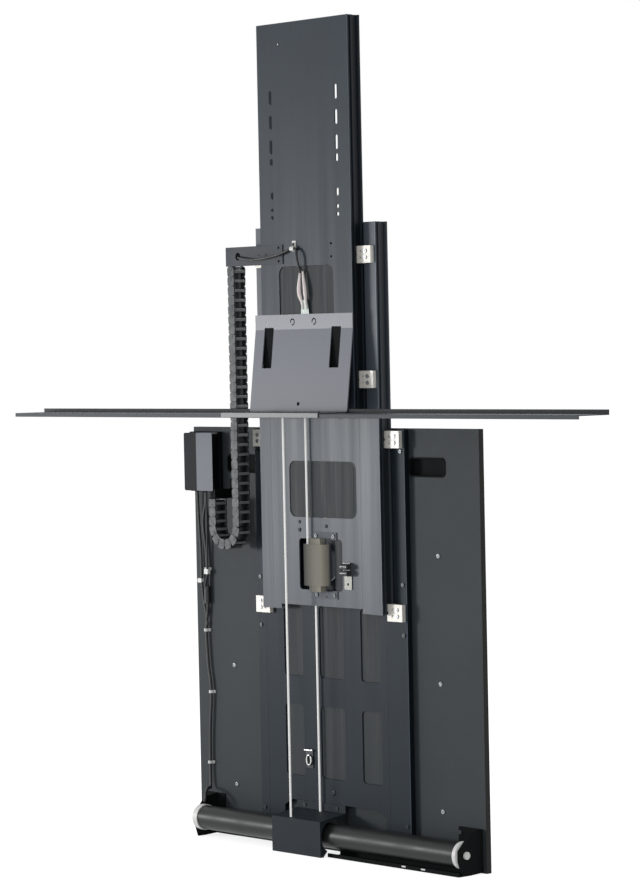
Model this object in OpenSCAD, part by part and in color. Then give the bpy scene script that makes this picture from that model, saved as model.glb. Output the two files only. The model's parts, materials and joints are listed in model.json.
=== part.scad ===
// Motorised lifting column for a flat screen: a board on the floor, three telescoping rails,
// a tube motor with ropes, a cable chain, and a closing bar that travels with the screen.
// X runs to the right, Y runs away from the viewer, Z runs up from the floor.
// The front face of the board lies at Y = 0 and the mast stands fully raised.

/* [Board] */
// Width of the board
board_w = 872; // [600:4:1200]
// Height of the board
board_h = 860; // [700:5:1100]
// Thickness of the board
board_t = 12.5; // [9:0.5:25]
// Middle of the board to the left of the middle of the mast
board_shift = 8; // [0:1:40]
// Width of each hand hole
cup_w = 101; // [80:1:140]
// Height of each hand hole
cup_h = 36; // [25:1:60]
// Distance of a hand hole from the middle of the mast
cup_x = 281; // [260:1:340]
// Top of the board to the middle of a hand hole
cup_drop = 76; // [40:1:150]
// Corner radius of a hand hole
cup_r = 9; // [3:0.5:16]
// Wall of the hand hole insert
cup_wall = 1.5; // [1:0.1:3]

/* [Rails] */
// Width of the rail fixed to the board
fixed_w = 457; // [420:1:560]
// Depth of the fixed rail
fixed_d = 12.5; // [11:0.5:20]
// Height of the fixed rail above the floor
fixed_lift = 20; // [5:1:60]
// Length of the fixed rail
fixed_len = 838; // [600:1:1000]
// Width of the middle stage
middle_w = 365; // [340:1:400]
// Length of the middle stage
middle_len = 778; // [600:1:900]
// Width of the upper stage
upper_w = 278; // [260:1:300]
// Length of the upper stage
upper_len = 793; // [600:1:900]
// Depth of both moving stages
stage_d = 33; // [30:0.5:45]
// Sheet thickness of the rail faces
sheet_t = 3; // [2:0.1:4]
// Depth of the channels that the next stage runs in
channel_d = 9.5; // [8:0.1:11]
// Width of a channel inside the running edge of the next stage
channel_in = 15; // [12:1:20]
// Width of a channel outside the running edge of the next stage
channel_out = 10; // [8:1:18]
// Front lip of a stage edge
lip_t = 4; // [3:0.1:5]
// Rib of a stage edge
rib_t = 3.5; // [2.5:0.1:5]
// Front groove between lip and rib
front_groove = 5; // [3:0.1:7]
// Depth of the edge grooves
groove_d = 5.5; // [4:0.1:8]
// Travel of each moving stage
stroke = 375; // [200:5:375]
// Overlap left between two raised stages
overlap = 383.5; // [300:0.5:450]
// Overlap left between the raised middle stage and the fixed rail
base_overlap = 367; // [300:1:450]

/* [Guide blocks] */
// Width of a guide block
guide_w = 48.5; // [40:0.5:52]
// Height of a guide block
guide_h = 34; // [25:1:50]
// Thickness of a guide block
guide_t = 9; // [7:0.5:12]
// Running clearance of the guide blocks and the channels
slide_gap = 0.5; // [0.3:0.05:1]
// Top edge of the fixed rail to the middle of its upper blocks
guide_drop = 19.5; // [19:0.5:80]
// Distance between the upper and the lower blocks of the fixed rail
guide_step = 343; // [200:1:400]
// Top of the middle stage to the middle of its upper blocks
guide_mid_drop = 64; // [20:1:120]
// Distance between the upper and the lower blocks of the middle stage
guide_mid_step = 247; // [150:1:280]

/* [Screen mounts] */
// Spacing of the two columns of screen slots
slot_span = 200; // [100:10:220]
// Top of the upper stage to the first pair of slots
slot_drop = 149; // [60:1:200]
// Width of a slot
slot_w = 8.5; // [6:0.5:12]
// Length of the long slots
slot_len = 30; // [20:1:40]
// Pitch of the long slots
slot_pitch = 50; // [42:1:80]
// Length of the short slots
slot_short = 16; // [10:1:20]

/* [Rope drive] */
// Outer diameter of the motor tube
tube_d = 50; // [40:1:60]
// Wall of the motor tube
tube_wall = 2; // [1:0.1:4]
// Length of the motor tube
tube_len = 779; // [500:1:820]
// Height of the tube axis
tube_z = 40; // [39:1:60]
// Front of the board to the tube axis
tube_y = 46; // [46:1:60]
// Diameter of the ropes
rope_d = 4.5; // [3:0.5:6]
// Pitch diameter of the lower pulley of the middle stage
stage_pulley_d = 68; // [56:1:72]
// Pitch diameter of the upper pulley of the middle stage
head_pulley_d = 84; // [80:1:92]
// Width of the cover over the rope drive
cover_w = 149; // [120:1:180]
// Thickness of the bent covers and brackets
plate_t = 2; // [1.5:0.1:3]

/* [Screen bar] */
// Length of the closing bar
bar_len = 1720; // [900:10:2000]
// Depth of the closing bar
bar_d = 80; // [50:1:110]
// Height of the two lips of the bar
bar_lip = 8; // [5:0.5:15]
// Width of the bar bracket
tray_w = 298; // [240:1:320]
// Height of the bar bracket
tray_h = 198; // [120:1:220]
// Forward lean of the bracket at its foot
tray_lean = 20; // [5:1:30]

/* [Cable chain] */
// Width of the chain
chain_w = 32; // [20:1:40]
// Thickness of the chain
chain_t = 22; // [14:1:26]
// Pitch of the chain links
chain_pitch = 19.6; // [14:0.1:26]
// Bend radius of the chain
chain_r = 38; // [28:1:50]
// Length of the chain arm
arm_len = 180; // [150:1:220]
// Height of the chain arm
arm_h = 39; // [25:1:50]

/* [Control box] */
// Width of the control box
box_w = 98; // [70:1:110]
// Height of the control box
box_h = 126; // [80:1:180]
// Depth of the control box
box_d = 27; // [20:1:40]

/* [Hidden] */
$fn = 32;
// Colours
c_black = [0.13, 0.14, 0.15];
c_rail = [0.25, 0.28, 0.31];
c_nickel = [0.78, 0.77, 0.74];
c_steel = [0.55, 0.56, 0.57];
c_white = [0.92, 0.92, 0.90];
c_grey = [0.42, 0.42, 0.39];

// General small sizes
cut = 1;             // overrun of the cuts
seat = 0.3;          // gap between a moving or soft piece and its neighbour
pin_fit = 0.05;      // radial clearance of the running bores
screw_d = 5;         // shank of the small screws
head_d = 8;          // head of the small screws
head_h = 2;
head_socket = 3;     // recess in a screw head
hole_fit = 0.25;     // radial clearance of the screw holes

// Places of the stages along Y and Z
fixed_y = -fixed_d;
fixed_bottom = fixed_lift;
fixed_top = fixed_bottom + fixed_len;
middle_y = fixed_y + channel_d - slide_gap - stage_d;
middle_bottom = fixed_top - base_overlap;
middle_top = middle_bottom + middle_len;
upper_y = middle_y + channel_d - slide_gap - stage_d;
upper_bottom = middle_top - overlap;
upper_top = upper_bottom + upper_len;

// Edge of a stage
rib_y = lip_t + front_groove;
back_groove_y = rib_y + rib_t;
wall_in = groove_d + sheet_t;   // depth of the side wall behind the edge

// Windows of the rails
win_r = 8;                       // corner radius of the rail windows
rail_win_w = 58;
rail_win_mid = 74;
rail_win_x = 118;
rail_win_h = 146;
rail_win_pitch = 204.5;
rail_win_depth = 5.5;             // face of the rail to the sheet behind its windows
rail_win_z = 127.5;              // bottom of the rail to its first windows
rail_cut_h = 77;                 // cut-out at the foot of the rail
rail_cut_w = 258;
rail_cut_slope = 26;
mid_win_w = 204;
mid_win_x = 10;                  // middle of the window from the middle of the stage
mid_win_h = 114;
mid_win_z = 189;                 // bottom of the middle stage to its large window
pulley_win_w = 132;
pulley_win_h = 104;
pulley_win_z = 42;
up_win_w = 166;
up_win_h = 170;
up_win_drop = 491;               // top of the upper stage to its window
up_win_r = 16;
end_step = 10;                   // the middle part of the stage face ends higher
foot_x = 124;
lining_rim = 8;                  // rim of the window linings
lining_t = 1.5;

// Screws on the rail flanges: above the foot of the rail, and from the guide blocks
rail_screw_x = 218;
rail_screw_low = 52;
rail_screw_under = 44;
rail_screw_over = 56;
rail_screw_drop = 23.5;

// Guide blocks
guide_nose = 12;                 // nose that enters the groove
guide_notch = 4;
guide_inset = 5;                 // edge of the rail to the outer end of the block
guide_out = 20;                  // outer end of the block to its screws
guide_in = 34;                   // outer end of the block to its dowel holes
guide_hole_dz = 13;
dowel_d = 5;

// Drum and rope drive
rope_r = rope_d / 2;
rope_y_back = -tube_y + tube_d / 2 + rope_r;
rope_y_front = -tube_y - tube_d / 2 - rope_r;
hoist_x = -38;
return_x = -66;
rope_lay = 0.5;                  // gap between the turns on the drum
top_pulley_z = 795;              // above the foot of the rail
top_pulley_t = 9;
pulley_flange = 2.5;             // flange height above the pitch line
pin_d = 10;
stage_pulley_z = 93;             // above the foot of the middle stage
stage_pulley_t = 8;
upper_pulley_drop = 52;          // below the top of the middle stage
front_rope_gap = 6.5;            // from the middle stage to the rope in front of it
front_rope_y = middle_y - front_rope_gap;
// the lower pulley leans so that its rope leaves behind the stage and comes back in front
stage_pulley_tilt = asin((rope_y_back - front_rope_y) / stage_pulley_d);
down_x = stage_pulley_d / 2 * cos(stage_pulley_tilt);
top_pulley_d = down_x - hoist_x;
top_pulley_x = hoist_x + top_pulley_d / 2;
upper_pulley_x = head_pulley_d / 2 - down_x;
upper_rope_x = upper_pulley_x + head_pulley_d / 2;
guard_r = 35;
guard_x = -6;                    // middle of the curved sheet
guard_h = 84;
guard_plate_w = 70;
guard_plate_x = 16;              // middle of the two screwed plates
guard_plate_h = 15;
guard_bulge = 18;

// Motor brackets
tube_dx = 17.5;                  // middle of the mast to the middle of the tube
bracket_w = 50;
bracket_nose = 20;               // tube axis to the front of a bracket
bracket_t = 3;
bracket_top = 46;                // tube axis to the top of a bracket
bracket_h = tube_z + bracket_top;
right_foot_in = 62;              // feet of the brackets, towards the middle and away from it
left_foot_in = 24;
left_foot_out = 40;
right_foot_screws = [[56, 0.87], [31, 0.55]];   // way inwards, share of the height
left_foot_screws = [[11, 0.86], [-10, 0.86]];
sill_y = 66;                     // front of the board to the lip of the sill under the tube
sill_d = 34;
sill_h = 8;
crown_d = 54;
crown_len = 14;
idler_d = 54;
idler_len = 8;
square_pin = 10;
pin_out = 4;                     // end of the pin outside its bracket
bracket_gap = 0.5;
tube_x0 = tube_dx - tube_len / 2;
tube_x1 = tube_dx + tube_len / 2;

// Cover over the ropes
cover_x = -40;
cover_y = rope_y_front - 10;
cover_h = 72;
cover_rise = 10;
cover_flange = 15;
cover_depth = 57;

// Tray bracket and bar
tray_x = -9;
tray_top = 205;                  // foot of the upper stage to the top of the bracket
tray_strip = 30;
lip_lean = tray_lean * bar_lip / (tray_h - tray_strip);
tray_foot = bar_d - lip_lean - plate_t - seat;   // foot of the bracket, to the front of its lip
tray_lip = 9;
tray_slot_w = 29;
tray_slot_h = 82;
tray_slot_x = 103;
tray_slot_dx = -3;               // the pair of slots sits off the middle
tray_slot_drop = 26;
tray_screw_x = 112;
tray_hole_x = 33;                // two C shaped slots in the top strip
tray_hole_d = 14;
tray_hole_w = 2.6;

// Chain and arm
arm_drop = 466;                  // top of the upper stage to the middle of the arm
arm_z = upper_top - arm_drop;
arm_lap = 70;                    // end of the arm on the face of the upper stage
arm_x1 = arm_lap - upper_w / 2;
arm_x0 = arm_x1 - arm_len;
arm_d = 12;
arm_tab = 24;
chain_run_x = arm_x0 + chain_t / 2;
chain_y = upper_y + seat + chain_w;
bend_z = 656;
chain_top_z = upper_top - arm_drop - arm_h / 2 - seat;
fixed_end_z = 712;
link_neck_share = 0.82;
link_gap_share = 0.3;
link_bar = 3;                    // thickness of the two cross bars of a link
link_lap_share = 1.12;

// Control box and wiring
box_x = -398;
box_drop = 10;                   // top of the board to the top of the box
cable_d = 6;
clip_t = 6;

// Deep hidden side of the cup
cup_floor = board_t - cup_wall - cut;

// helpers

// The part stands on the origin: the middle of its outer box, on the floor
module placed() {
  translate([-tray_x, (tray_foot + tray_lean + plate_t - upper_y - board_t) / 2, 0]) children();
}
// Outline of a rectangle with round corners
function arc_pts(cx, cy, r, a0, n) =
  [for (i = [0:n]) [cx + r * cos(a0 + 90 * i / n), cy + r * sin(a0 + 90 * i / n)]];
function rr(x0, x1, z0, z1, r) = concat(
  arc_pts(x1 - r, z1 - r, r, 0, 4), arc_pts(x0 + r, z1 - r, r, 90, 4),
  arc_pts(x0 + r, z0 + r, r, 180, 4), arc_pts(x1 - r, z0 + r, r, 270, 4));

// Slab between two Y planes from an outline in X and Z
module slab(y0, y1) {
  translate([0, y1, 0]) rotate([90, 0, 0]) linear_extrude(height = y1 - y0) children();
}
module block(x0, x1, y0, y1, z0, z1) {
  translate([x0, y0, z0]) cube([x1 - x0, y1 - y0, z1 - z0]);
}
// Round bar along Y between two planes
module bar_y(d, y0, y1) {
  translate([0, y0, 0]) rotate([-90, 0, 0]) cylinder(d = d, h = y1 - y0);
}
// Round bar along X between two planes
module bar_x(d, x0, x1) {
  translate([x0, 0, 0]) rotate([0, 90, 0]) cylinder(d = d, h = x1 - x0);
}
// Pan head screw that looks towards -Y, its seat at Y = 0, with its shank behind
module screw(shank) {
  difference() {
    union() {
      bar_y(head_d, -head_h, 0);
      bar_y(screw_d, -head_h / 2, shank);
    }
    bar_y(head_socket, -head_h - cut, -head_h / 2);
  }
}
module screw_hole(y0, y1) {
  bar_y(screw_d + 2 * hole_fit, y0, y1);
}

// Right half of the section of a moving stage, face at Y = 0
function stage_edge(hw, d) = [
  [hw, 0], [hw, lip_t], [hw - groove_d, lip_t], [hw - groove_d, rib_y], [hw, rib_y],
  [hw, back_groove_y], [hw - groove_d, back_groove_y], [hw - groove_d, d - lip_t],
  [hw, d - lip_t], [hw, d], [hw - wall_in, d], [hw - wall_in, sheet_t]];
function stage_half(hw, d, next) = next > 0
  ? concat([[0, 0], [next - channel_in, 0], [next - channel_in, channel_d],
            [next + channel_out, channel_d], [next + channel_out, 0]],
           stage_edge(hw, d),
           [[next + channel_out + sheet_t, sheet_t],
            [next + channel_out + sheet_t, channel_d + sheet_t],
            [next - channel_in - sheet_t, channel_d + sheet_t],
            [next - channel_in - sheet_t, sheet_t], [0, sheet_t]])
  : concat([[0, 0]], stage_edge(hw, d), [[0, sheet_t]]);
// Whole section from its right half, whose first and last points lie on the middle line
module both_halves(pts) {
  polygon(concat(pts, [for (i = [len(pts) - 2:-1:1]) [-pts[i][0], pts[i][1]]]));
}
// A stage standing on z0, its face at y0
module stage(hw, d, next, y0, z0, len) {
  translate([0, y0, z0]) linear_extrude(height = len) both_halves(stage_half(hw, d, next));
}

// Swept tube: rings of n points around a route
function unit(v) = v / norm(v);
function dir_at(p, i) = i == 0 ? unit(p[1] - p[0])
  : i == len(p) - 1 ? unit(p[i] - p[i - 1]) : unit(unit(p[i + 1] - p[i]) + unit(p[i] - p[i - 1]));
function side_of(t, s) = unit(s - t * (s * t));
function sides(p, i, s) = i == len(p) ? []
  : let (v = side_of(dir_at(p, i), s)) concat([v], sides(p, i + 1, v));
module tube_on(p, r, n, start = [1, 0, 0]) {
  s = sides(p, 0, start);
  pts = [for (i = [0:len(p) - 1]) let (t = dir_at(p, i), u = s[i], w = cross(t, u))
    for (k = [0:n - 1]) p[i] + r * (cos(360 * k / n) * u + sin(360 * k / n) * w)];
  last = (len(p) - 1) * n;
  faces = concat(
    [[for (k = [0:n - 1]) k]],
    [for (i = [0:len(p) - 2]) for (k = [0:n - 1])
      [i * n + k, (i + 1) * n + k, (i + 1) * n + (k + 1) % n]],
    [for (i = [0:len(p) - 2]) for (k = [0:n - 1])
      [i * n + k, (i + 1) * n + (k + 1) % n, i * n + (k + 1) % n]],
    [[for (k = [0:n - 1]) last + n - 1 - k]]);
  polyhedron(points = pts, faces = faces);
}
function lerp(a, b, t) = a + (b - a) * t;
// Smooth route through chosen points
function cat(a, b, c, d, t) = 0.5 * ((2 * b) + (c - a) * t + (2 * a - 5 * b + 4 * c - d) * t * t
  + (3 * b - a - 3 * c + d) * t * t * t);
function smooth(p, n) = concat([for (i = [0:len(p) - 2]) for (j = [0:n - 1])
  cat(p[max(i - 1, 0)], p[i], p[i + 1], p[min(i + 2, len(p) - 1)], j / n)], [p[len(p) - 1]]);

// board and fixed rail

module cup_outline(sx, grow) {
  x = sx * cup_x;
  z = board_h - cup_drop;
  polygon(rr(x - cup_w / 2 - grow, x + cup_w / 2 + grow, z - cup_h / 2 - grow,
    z + cup_h / 2 + grow, cup_r + grow));
}
board_hole_x = 316;
board_hole_z = 109;
board_hole_pitch = 251;
module board_hole_places() {
  for (sx = [-1, 1]) for (k = [0:2])
    translate([sx * board_hole_x - board_shift, 0, board_hole_z + k * board_hole_pitch])
      children();
}
module back_board() {
  placed() color(c_black) difference() {
    block(-board_w / 2 - board_shift, board_w / 2 - board_shift, 0, board_t, 0, board_h);
    for (sx = [-1, 1]) slab(-cut, board_t + cut) cup_outline(sx, seat);
    board_hole_places() screw_hole(-cut, board_t + cut);
    for (sx = [-1, 1]) for (z = rail_screw_zs)
      translate([sx * rail_screw_x, 0, z]) screw_hole(-cut, board_t / 2);
  }
}
module hand_cup(sx) {
  placed() color(c_black) difference() {
    union() {
      slab(-cup_wall, 0) cup_outline(sx, cup_wall);
      slab(-cut / 2, board_t - cut) cup_outline(sx, 0);
    }
    slab(-cup_wall - cut, cup_floor) cup_outline(sx, -cup_wall);
  }
}
module hand_cup_left() { hand_cup(-1); }
module hand_cup_right() { hand_cup(1); }

fixed_half = fixed_w / 2;
middle_half = middle_w / 2;
upper_half = upper_w / 2;
fixed_channel_out = 2 * channel_out;
back_x = middle_half - channel_in - sheet_t / 2;
function fixed_section() = let (a = middle_half - channel_in - sheet_t,
    b = middle_half - channel_in, c = middle_half + fixed_channel_out, d = c + sheet_t) [
  [0, 0], [b, 0], [b, channel_d], [c, channel_d], [c, 0], [fixed_half, 0],
  [fixed_half, fixed_d], [fixed_half - sheet_t, fixed_d], [fixed_half - sheet_t, sheet_t],
  [d, sheet_t], [d, fixed_d], [a, fixed_d], [a, sheet_t], [0, sheet_t]];
module rail_windows() {
  for (k = [0:floor((fixed_len - rail_win_z - rail_win_h) / rail_win_pitch)]) {
    z0 = fixed_bottom + rail_win_z + k * rail_win_pitch;
    polygon(rr(-rail_win_mid / 2, rail_win_mid / 2, z0, z0 + rail_win_h, win_r));
    for (sx = [-1, 1])
      polygon(rr(sx * rail_win_x - rail_win_w / 2, sx * rail_win_x + rail_win_w / 2,
        z0, z0 + rail_win_h, win_r));
  }
}
module rail_screw_places() {
  for (sx = [-1, 1]) for (z = rail_screw_zs)
    translate([sx * rail_screw_x, fixed_y, z]) children();
}
// Corner positions of the guide blocks of the fixed rail and of the middle stage
fixed_guide_z = [fixed_top - guide_drop, fixed_top - guide_drop - guide_step];
middle_guide_z = [middle_top - guide_mid_drop, middle_top - guide_mid_drop - guide_mid_step];
rail_screw_zs = [fixed_bottom + rail_screw_low, fixed_guide_z[1] - rail_screw_under,
  fixed_guide_z[1] + rail_screw_over, fixed_guide_z[0] - rail_screw_drop];
module guide_screw_places(hw, zs, outs) {
  for (sx = [-1, 1]) for (z = zs) for (o = outs) for (dz = [-1, 1])
    translate([sx * (hw - o), 0, z + dz * guide_hole_dz / 2]) children();
}
module fixed_rail() {
  placed() color(c_rail) difference() {
    union() {
      translate([0, fixed_y, fixed_bottom]) linear_extrude(height = fixed_len)
        both_halves(fixed_section());
      // sheet behind the windows
      block(-back_x, back_x, fixed_y + rail_win_depth, fixed_y + rail_win_depth + lining_t,
        fixed_bottom + rail_win_z - 2 * lining_rim, fixed_top);
    }
    slab(fixed_y - cut, fixed_y + sheet_t + cut) rail_windows();
    slab(fixed_y - cut, cut) polygon([
      [-rail_cut_w / 2 - rail_cut_slope, fixed_bottom - cut],
      [rail_cut_w / 2 + rail_cut_slope, fixed_bottom - cut],
      [rail_cut_w / 2 + rail_cut_slope, fixed_bottom + rail_cut_h - rail_cut_slope / 2],
      [rail_cut_w / 2, fixed_bottom + rail_cut_h],
      [-rail_cut_w / 2, fixed_bottom + rail_cut_h],
      [-rail_cut_w / 2 - rail_cut_slope, fixed_bottom + rail_cut_h - rail_cut_slope / 2]]);
    rail_screw_places() screw_hole(-cut, fixed_d + cut);
    translate([0, fixed_y, 0]) guide_screw_places(fixed_half, fixed_guide_z, [guide_out])
      screw_hole(-cut, sheet_t + cut);
    translate([top_pulley_x, fixed_y, fixed_bottom + top_pulley_z])
      bar_y(pin_d + 2 * pin_fit, -cut, sheet_t + cut);
    for (sx = [-1, 1]) translate([cover_x + sx * cover_screw_x, fixed_y, cover_screw_z])
      screw_hole(-cut, sheet_t + cut);
  }
}
module rail_screws() {
  placed() color(c_steel) rail_screw_places() screw(fixed_d + board_t / 4);
}

// Guide block: a plate on the flange and a nose in the groove of the next stage
module guide_block(sx, hw, y0, z, next) {
  x_in = hw - guide_w;
  x_out = hw - guide_inset;
  nose_y0 = y0 - guide_t;
  placed() color(c_nickel) scale([sx, 1, 1]) difference() {
    union() {
      slab(y0 - guide_t, y0) polygon([
        [x_out, z - guide_h / 2], [x_out, z + guide_h / 2], [x_in, z + guide_h / 2],
        [x_in, z + guide_notch], [x_in + guide_notch, z], [x_in, z - guide_notch],
        [x_in, z - guide_h / 2]]);
      slab(y0 - cut, y0 + channel_d / 2) polygon([
        [x_in + guide_nose, z - guide_h / 2], [x_in + guide_nose, z + guide_h / 2],
        [x_in, z + guide_h / 2], [x_in, z + guide_notch], [x_in + guide_notch, z],
        [x_in, z - guide_notch], [x_in, z - guide_h / 2]]);
    }
    for (dz = [-1, 1]) {
      translate([hw - guide_out, 0, z + dz * guide_hole_dz / 2])
        screw_hole(nose_y0 - cut, y0 + cut);
      translate([hw - guide_in, 0, z + dz * guide_hole_dz / 2])
        bar_y(dowel_d, nose_y0 - cut, y0 + cut);
    }
  }
}
module fixed_guide(sx, k) { guide_block(sx, fixed_half, fixed_y, fixed_guide_z[k], middle_half); }
module fixed_guide_upper_left() { fixed_guide(-1, 0); }
module fixed_guide_upper_right() { fixed_guide(1, 0); }
module fixed_guide_lower_left() { fixed_guide(-1, 1); }
module fixed_guide_lower_right() { fixed_guide(1, 1); }
module fixed_guide_screws() {
  placed() color(c_steel) translate([0, fixed_y - guide_t, 0])
    guide_screw_places(fixed_half, fixed_guide_z, [guide_out]) screw(guide_t + sheet_t + cut);
}

// pulleys and pins

// Grooved pulley on an axis along Y, centred on the origin
module pulley(d, t, bore) {
  rotate([90, 0, 0]) rotate_extrude() polygon([
    [bore / 2, -t / 2], [d / 2 + pulley_flange, -t / 2],
    [d / 2 + pulley_flange, -rope_r - 3 * seat], [d / 2 - rope_r - seat / 2, -rope_r - seat],
    [d / 2 - rope_r - seat / 2, rope_r + seat], [d / 2 + pulley_flange, rope_r + 3 * seat],
    [d / 2 + pulley_flange, t / 2], [bore / 2, t / 2]]);
}
// Shouldered pin: shank through a sheet that lies behind y1, head in front of the pulley
module pulley_pin(y0, y1, tail) {
  union() {
    bar_y(pin_d + 2 * head_h, y0 - head_h, y0);
    bar_y(pin_d, y0 - cut, y1 + tail);
  }
}
top_pulley_y0 = rope_y_back - top_pulley_t / 2;
module top_pulley() {
  placed() color(c_grey) translate([top_pulley_x, rope_y_back, fixed_bottom + top_pulley_z])
    pulley(top_pulley_d, top_pulley_t, pin_d + 2 * pin_fit);
}
module top_pulley_pin() {
  placed() color(c_steel) translate([top_pulley_x, 0, fixed_bottom + top_pulley_z])
    pulley_pin(top_pulley_y0 - seat, fixed_y, sheet_t);
}
upper_pulley_z = middle_top - upper_pulley_drop;
upper_pulley_y0 = front_rope_y - stage_pulley_t / 2;
module upper_pulley() {
  placed() color(c_grey) translate([upper_pulley_x, front_rope_y, upper_pulley_z])
    pulley(head_pulley_d, stage_pulley_t, pin_d + 2 * pin_fit);
}
module upper_pulley_pin() {
  placed() color(c_steel) translate([upper_pulley_x, 0, upper_pulley_z])
    pulley_pin(upper_pulley_y0 - seat, middle_y, sheet_t);
}
lower_pulley_z = middle_bottom + stage_pulley_z;
lower_pulley_y = (front_rope_y + rope_y_back) / 2;
module at_lower_pulley() {
  translate([0, lower_pulley_y, lower_pulley_z]) rotate([0, 0, stage_pulley_tilt]) children();
}
module lower_pulley() {
  placed() color(c_grey) at_lower_pulley()
    pulley(stage_pulley_d, stage_pulley_t, pin_d + 2 * pin_fit);
}
// Curved guard over the lower pulley, with its two screwed plates and the pulley pin
guard_z0 = middle_bottom + pulley_win_z + (pulley_win_h - guard_h) / 2;
guard_front = guard_bulge + plate_t;
guard_reach = (lower_pulley_y - middle_y + guard_bulge - cut) / cos(stage_pulley_tilt);
module guard_sheet(inset) {
  z0 = guard_z0;
  translate([guard_x, middle_y, z0]) linear_extrude(height = guard_h)
    polygon([for (i = [0:16]) let (a = 180 * i / 16, c = cos(a))
      [(guard_r - inset) * sign(c) * pow(abs(c), 2 / 3),
       -(guard_front - inset) * pow(sin(a), 2 / 3)]]);
}
module pulley_guard() {
  placed() color(c_grey) union() {
    difference() {
      guard_sheet(0);
      translate([0, 0, -cut]) guard_sheet(plate_t);
      translate([0, 0, cut]) guard_sheet(plate_t);
    }
    difference() {
      for (s = [-1, 1]) {
        z = lower_pulley_z + s * (pulley_win_h / 2 + guard_plate_h / 2);
        slab(middle_y - plate_t, middle_y)
          polygon(rr(guard_plate_x - guard_plate_w / 2, guard_plate_x + guard_plate_w / 2,
            z - guard_plate_h / 2, z + guard_plate_h / 2, plate_t));
        // tongue that ties the plate to the curved sheet
        block(-guard_plate_w / 4, guard_plate_w / 4, middle_y - guard_front * 0.85, middle_y,
          s > 0 ? guard_z0 + guard_h - plate_t : guard_z0 - (pulley_win_h - guard_h) / 2 - plate_t,
          s > 0 ? guard_z0 + guard_h + (pulley_win_h - guard_h) / 2 + plate_t
            : guard_z0 + plate_t);
      }
      guard_screw_places() screw_hole(-cut, plate_t + cut);
      // way for the rope above the guard
      block(-down_x - rope_d, -down_x + rope_d, front_rope_y - rope_d, front_rope_y + rope_d,
        lower_pulley_z, lower_pulley_z + pulley_win_h);
    }
    at_lower_pulley() {
      bar_y(pin_d, -guard_reach, stage_pulley_t / 2 + seat);
      bar_y(pin_d + 2 * head_h, -stage_pulley_t / 2 - seat - head_h, -stage_pulley_t / 2 - seat);
      bar_y(pin_d + 2 * head_h, stage_pulley_t / 2 + seat, stage_pulley_t / 2 + seat + head_h / 2);
    }
  }
}
module guard_screw_places() {
  for (s = [-1, 1]) for (sx = [-1, 1])
    translate([guard_plate_x + sx * guard_plate_w * 0.38, middle_y - plate_t,
      lower_pulley_z + s * (pulley_win_h / 2 + guard_plate_h / 2)]) children();
}
module guard_screws() {
  placed() color(c_steel) guard_screw_places() screw(plate_t + sheet_t);
}

// motor, drum, cover

module at_drum() { translate([0, -tube_y, tube_z]) children(); }
// Side bracket: a cheek square to the tube and a foot screwed to the board
module foot_screw_places(sx, x) {
  for (f = sx > 0 ? right_foot_screws : left_foot_screws)
    translate([x - sx * f[0], 0, bracket_h * f[1]]) children();
}
module bracket_foot(sx, x) {
  block(sx > 0 ? x - right_foot_in : x - left_foot_out, sx > 0 ? x + bracket_t : x + left_foot_in,
    -bracket_t, 0, bracket_h * 0.4, bracket_h);
}
module motor_bracket(sx, x) {
  difference() {
    union() {
      translate([sx > 0 ? x : x - bracket_t, 0, 0]) rotate([90, 0, 90])
        linear_extrude(height = bracket_t)
        polygon([[-tube_y - bracket_nose, tube_z - bracket_nose / 2],
          [-tube_y - bracket_nose, tube_z + bracket_nose / 2],
          [-tube_y - bracket_nose / 2, tube_z + bracket_nose],
          [bracket_w / 4 - tube_y, bracket_h - 2 * plate_t], [-plate_t, bracket_h], [0, bracket_h],
          [0, plate_t], [-tube_y + bracket_nose / 2, 0], [-tube_y - bracket_nose / 2, 0]]);
      bracket_foot(sx, x);
    }
    at_drum() bar_x(square_pin * 1.5, x - bracket_t - cut, x + bracket_t + cut);
    foot_screw_places(sx, x) screw_hole(-bracket_t - cut, cut);
  }
}
motor_x = tube_x0 - seat - crown_len;
idler_x = tube_x1 + seat + idler_len;
left_cheek = motor_x - bracket_gap;
right_cheek = idler_x + bracket_gap;
module motor_bracket_left() { placed() color(c_black) motor_bracket(-1, left_cheek); }
// The bracket of the free end carries the sill that runs under the tube
module motor_bracket_right() {
  x0 = cover_x + cover_w / 2 + plate_t;
  placed() color(c_black) union() {
    motor_bracket(1, right_cheek);
    block(x0, right_cheek + bracket_t, -sill_y, sill_d - sill_y, 0, plate_t);
    block(x0, right_cheek + bracket_t, -sill_y, plate_t - sill_y, 0, sill_h);
  }
}
module motor_bracket_screws() {
  placed() color(c_steel) translate([0, -bracket_t, 0]) {
    foot_screw_places(-1, left_cheek) screw(bracket_t);
    foot_screw_places(1, right_cheek) screw(bracket_t);
  }
}
// Head of the tube motor: a crown outside the tube, a stub in the bracket and the body inside
module motor_head() {
  inner = tube_d - 2 * tube_wall;
  placed() color(c_white) at_drum() union() {
    bar_x(crown_d, motor_x, tube_x0 - seat);
    bar_x(square_pin * 1.5 - 2 * pin_fit, motor_x - bracket_gap - bracket_t, motor_x + cut);
    bar_x(inner - 2 * seat, tube_x0 - seat - cut, tube_x0 + tube_len * 0.6);
  }
}
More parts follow.
